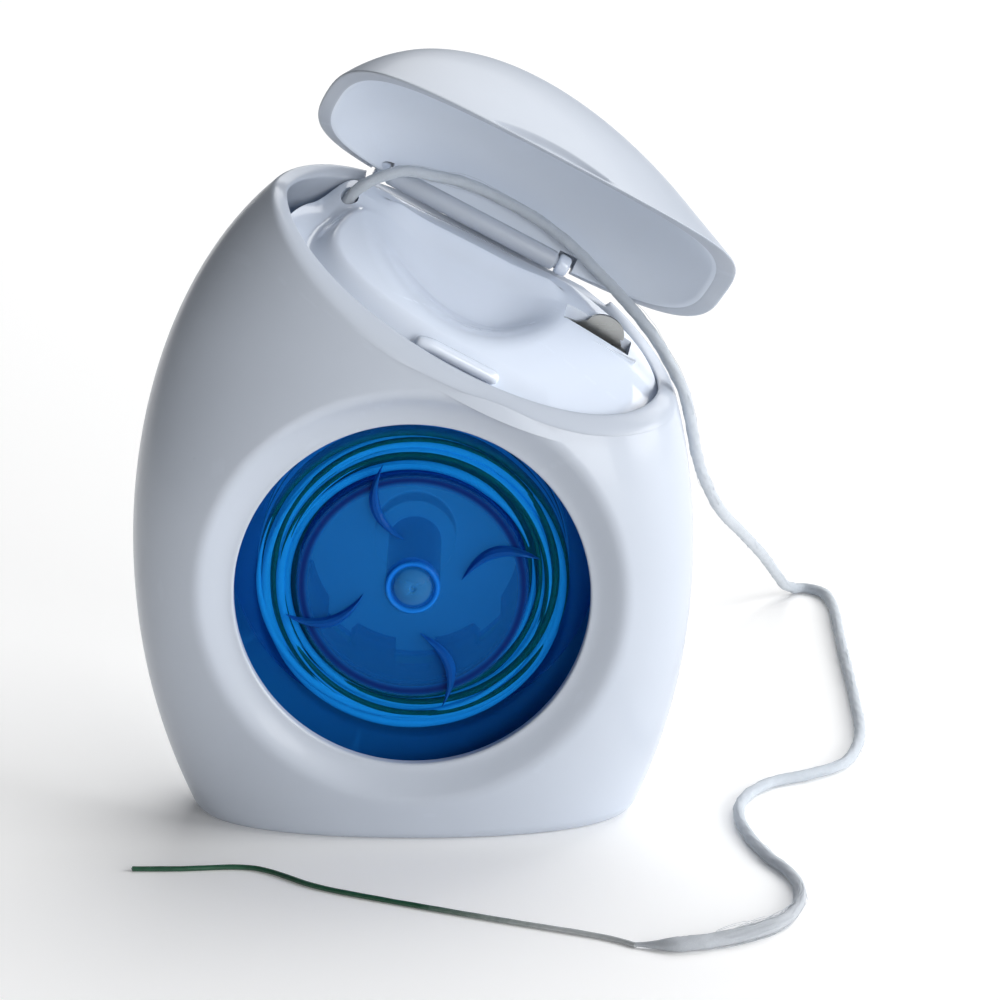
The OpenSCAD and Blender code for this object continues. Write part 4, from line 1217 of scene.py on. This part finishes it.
class DISPENSER_OT_winding(bpy.types.Operator):
    """Floss wound on the spool: white spongy runs and dark green stiff runs that cross each other"""

    bl_idname = "dispenser.winding"
    bl_label = "Wound floss"

    def execute(self, context):
        sizes = context.scene.floss_sizes
        white, green = finish_of("wound_white"), finish_of("wound_green")
        r_white, r_green = sizes.yarn / MM / 2, sizes.thin_yarn / MM / 2
        whites, greens = [], []
        # over the front face: a white and a green run side by side, and shorter runs that cross them
        for runs, run in (
            (whites, (2.95, 10.85, 13.95, -4.24, r_white * 0.86, 0.3, 31)),
            (greens, (2.95, 10.85, 13.95, -4.26, r_green, 0.3 + math.pi, 32)),
            (whites, (1.1, 13.6, 11.5, -4.38, r_white * 0.66, 2.7, 33)),
            (greens, (1.5, 11.2, 13.4, -4.44, r_green * 0.72, 4.6, 34)),
            (whites, (0.8, 11.2, 13.2, -4.5, r_white * 0.36, 1.2, 37)),
            (greens, (0.9, 13.5, 11.4, -4.5, r_green * 0.5, 3.4, 38)),
            (whites, (2.2, 13.4, 11.0, -3.7, r_white, 5.2, 35)),
            (greens, (2.3, 11.4, 13.8, -3.8, r_green, 0.9, 36)),
        ):
            runs.append(self.face_run(*run))
        # along the drum to the rear flange
        for k in range(5):
            whites.append(self.drum_run(2.1, -3.2 + 1.75 * k, r_white, 40 + k))
            greens.append(self.drum_run(1.9, -2.5 + 1.75 * k, r_green, 60 + k))
        new_piece("wound_spongy", *joined(*whites), [white], "spool", "floss_green", ["floss_winding"], 60,
                  weld=False)
        new_piece("wound_stiff", *joined(*greens), [green], "spool", "floss_green", crease=60, weld=False)
        back = REAR_Y - 0.15
        drum = [(10.45, back)] + [(13.6 - 0.12 * (k % 2), y) for k, y in enumerate(np.linspace(back, -1.2, 25))]
        drum += [(11.6 + 2.0 * math.cos(k), -1.4 - 2.0 * math.sin(k)) for k in np.linspace(0, math.pi / 2, 7)[1:]]
        drum += [(10.45, -3.4)]
        new_piece("wound_inner", *lathe(drum, 128), [green], "spool", "floss_green", ["floss_core"], 50)
        lead = spline_through(LEAD_ROUTE, 0.5)
        new_piece("inner_lead", *tube(lead, 0.5), [finish_of("spongy_white")], "case", "floss_white",
                  ["floss_lead"], 60, weld=False)
        return {"FINISHED"}

    def face_run(self, turns, r_from, r_to, depth, radius, start, seed):
        """Uneven spiral over the face of the winding."""
        rng = np.random.default_rng(seed)
        t = np.linspace(0, 1, int(turns * 150))
        angle = start + turns * 2 * math.pi * t
        lean, shift = rng.uniform(0, 2 * math.pi), rng.uniform(0.35, 0.6)
        ripple = 0.22 * np.sin(1.37 * angle + rng.uniform(0, 6))
        r = r_from + (r_to - r_from) * t + shift * np.cos(angle - lean) + ripple
        r = np.clip(r, 10.35 + radius, 14.15 - radius)
        y = depth + 0.16 * np.sin(angle * 0.77 + rng.uniform(0, 6)) + 0.1 * np.sin(angle * 1.9 + rng.uniform(0, 6))
        y = np.maximum(y, INNER_Y + 0.06 + radius)
        bend = np.maximum(0, r - 12.6)
        y = y + bend**2 * 0.42
        line = np.stack([r * np.cos(angle), y, WINDOW_Z + r * np.sin(angle)], -1)
        size = radius * (0.86 + 0.2 * np.sin(angle * 1.63 + seed))
        ends = np.minimum(1, np.minimum(t, 1 - t) * turns * 9 + 0.15)
        return tube(line, size * ends, 12)

    def drum_run(self, turns, depth, radius, seed):
        """Uneven helix along the drum."""
        rng = np.random.default_rng(seed)
        t = np.linspace(0, 1, int(turns * 130))
        angle = rng.uniform(0, 2 * math.pi) + turns * 2 * math.pi * t
        y = depth + 0.8 * turns * (t - 0.5) + 0.35 * np.sin(angle + rng.uniform(0, 6))
        y = np.clip(y, -3.3, REAR_Y - 0.2 - radius)
        r = 14.1 - radius - 0.12 * (1 + np.sin(angle * 1.3 + rng.uniform(0, 6))) - np.maximum(0, -2.2 - y) ** 2 * 0.5
        line = np.stack([r * np.cos(angle), y, WINDOW_Z + r * np.sin(angle)], -1)
        ends = np.minimum(1, np.minimum(t, 1 - t) * turns * 9 + 0.15)
        return tube(line, radius * ends, 10)


class DISPENSER_OT_stage(bpy.types.Operator):
    """Pale floor and soft studio lamps"""

    bl_idname = "dispenser.stage"
    bl_label = "Stage"

    def execute(self, context):
        colour = tuple(context.scene.dispenser_colours.floor)
        n, reach = 24, 1.6
        u = np.linspace(-reach, reach, n)
        x, y = np.meshgrid(u, u, indexing="ij")
        points = np.stack([x, y, np.zeros_like(x)], -1).reshape(-1, 3)
        mesh = bpy.data.meshes.new("studio_floor")
        mesh.from_pydata(points.tolist(), [], grid_faces(n, n))
        mesh.materials.append(floor_paint(colour))
        floor = bpy.data.objects.new("studio_floor", mesh)
        context.scene.collection.objects.link(floor)
        world = bpy.data.worlds.new("studio")
        context.scene.world = world
        world.use_nodes = True
        shade_node = world.node_tree.nodes["Background"]
        shade_node.inputs["Color"].default_value = (0.97, 0.985, 1.0, 1)
        shade_node.inputs["Strength"].default_value = 0.05
        self.lamp(context, "key_softbox", (1.71, -0.42, 0.72), STAGE_MIDDLE, 1.2, 1.2, 29)
        self.lamp(context, "front_softbox", (0.95, -1.6, 0.4), STAGE_MIDDLE, 1.0, 0.8, 16.5)
        self.lamp(context, "back_softbox", (0.42, 0.99, 1.33), (0.0, 0.1, 0.0), 1.6, 1.6, 23)
        self.lamp(context, "deck_softbox", (0.78, 0.31, 0.91), (0.012, 0.0, 0.045), 0.5, 0.4, 1.8)
        context.scene.view_settings.view_transform = "Standard"
        return {"FINISHED"}

    def lamp(self, context, name, place, target, width, height, power):
        data = bpy.data.lights.new(name, "AREA")
        data.shape, data.size, data.size_y = "RECTANGLE", width, height
        data.energy, data.color = power, STUDIO_WHITE
        lamp = bpy.data.objects.new(name, data)
        lamp.location = place
        aim = Vector(place) - Vector(target)
        lamp.rotation_euler = aim.to_track_quat("Z", "Y").to_euler()
        context.scene.collection.objects.link(lamp)


class DISPENSER_PT_build(bpy.types.Panel):
    """Lists the dispenser's pieces and sizes in the sidebar"""

    bl_idname = "DISPENSER_PT_build"
    bl_label = "Floss Dispenser"
    bl_space_type = "VIEW_3D"
    bl_region_type = "UI"
    bl_category = "Floss Dispenser"

    def draw(self, context):
        layout = self.layout
        for title, group in (("Case", context.scene.case_sizes), ("Window", context.scene.window_sizes),
                             ("Floss", context.scene.floss_sizes), ("Colours", context.scene.dispenser_colours)):
            column = layout.column(align=True)
            column.label(text=title)
            for key in group.__annotations__:
                column.prop(group, key)
        column = layout.column(align=True)
        column.label(text="Pieces")
        for operator in OPERATORS:
            column.operator(operator.bl_idname)


OPERATORS = (
    DISPENSER_OT_camera, DISPENSER_OT_strand, DISPENSER_OT_threader, DISPENSER_OT_front_shell,
    DISPENSER_OT_rear_shell, DISPENSER_OT_deck, DISPENSER_OT_lid, DISPENSER_OT_cutter,
    DISPENSER_OT_spool, DISPENSER_OT_winding, DISPENSER_OT_stage,
)
GROUPS = {
    "case_sizes": CaseSizes, "window_sizes": WindowSizes, "floss_sizes": FlossSizes,
    "dispenser_colours": DispenserColours,
}


def register():
    for group in GROUPS.values():
        bpy.utils.register_class(group)
    for key, group in GROUPS.items():
        setattr(bpy.types.Scene, key, PointerProperty(type=group))
    for made in OPERATORS + (DISPENSER_PT_build,):
        bpy.utils.register_class(made)


def unregister():
    for made in (DISPENSER_PT_build,) + OPERATORS[::-1]:
        bpy.utils.unregister_class(made)
    for key in GROUPS:
        delattr(bpy.types.Scene, key)
    for group in list(GROUPS.values())[::-1]:
        bpy.utils.unregister_class(group)


def main():
    register()
    for operator in OPERATORS:
        family, name = operator.bl_idname.split(".")
        getattr(getattr(bpy.ops, family), name)()


if __name__ == "__main__":
    main()
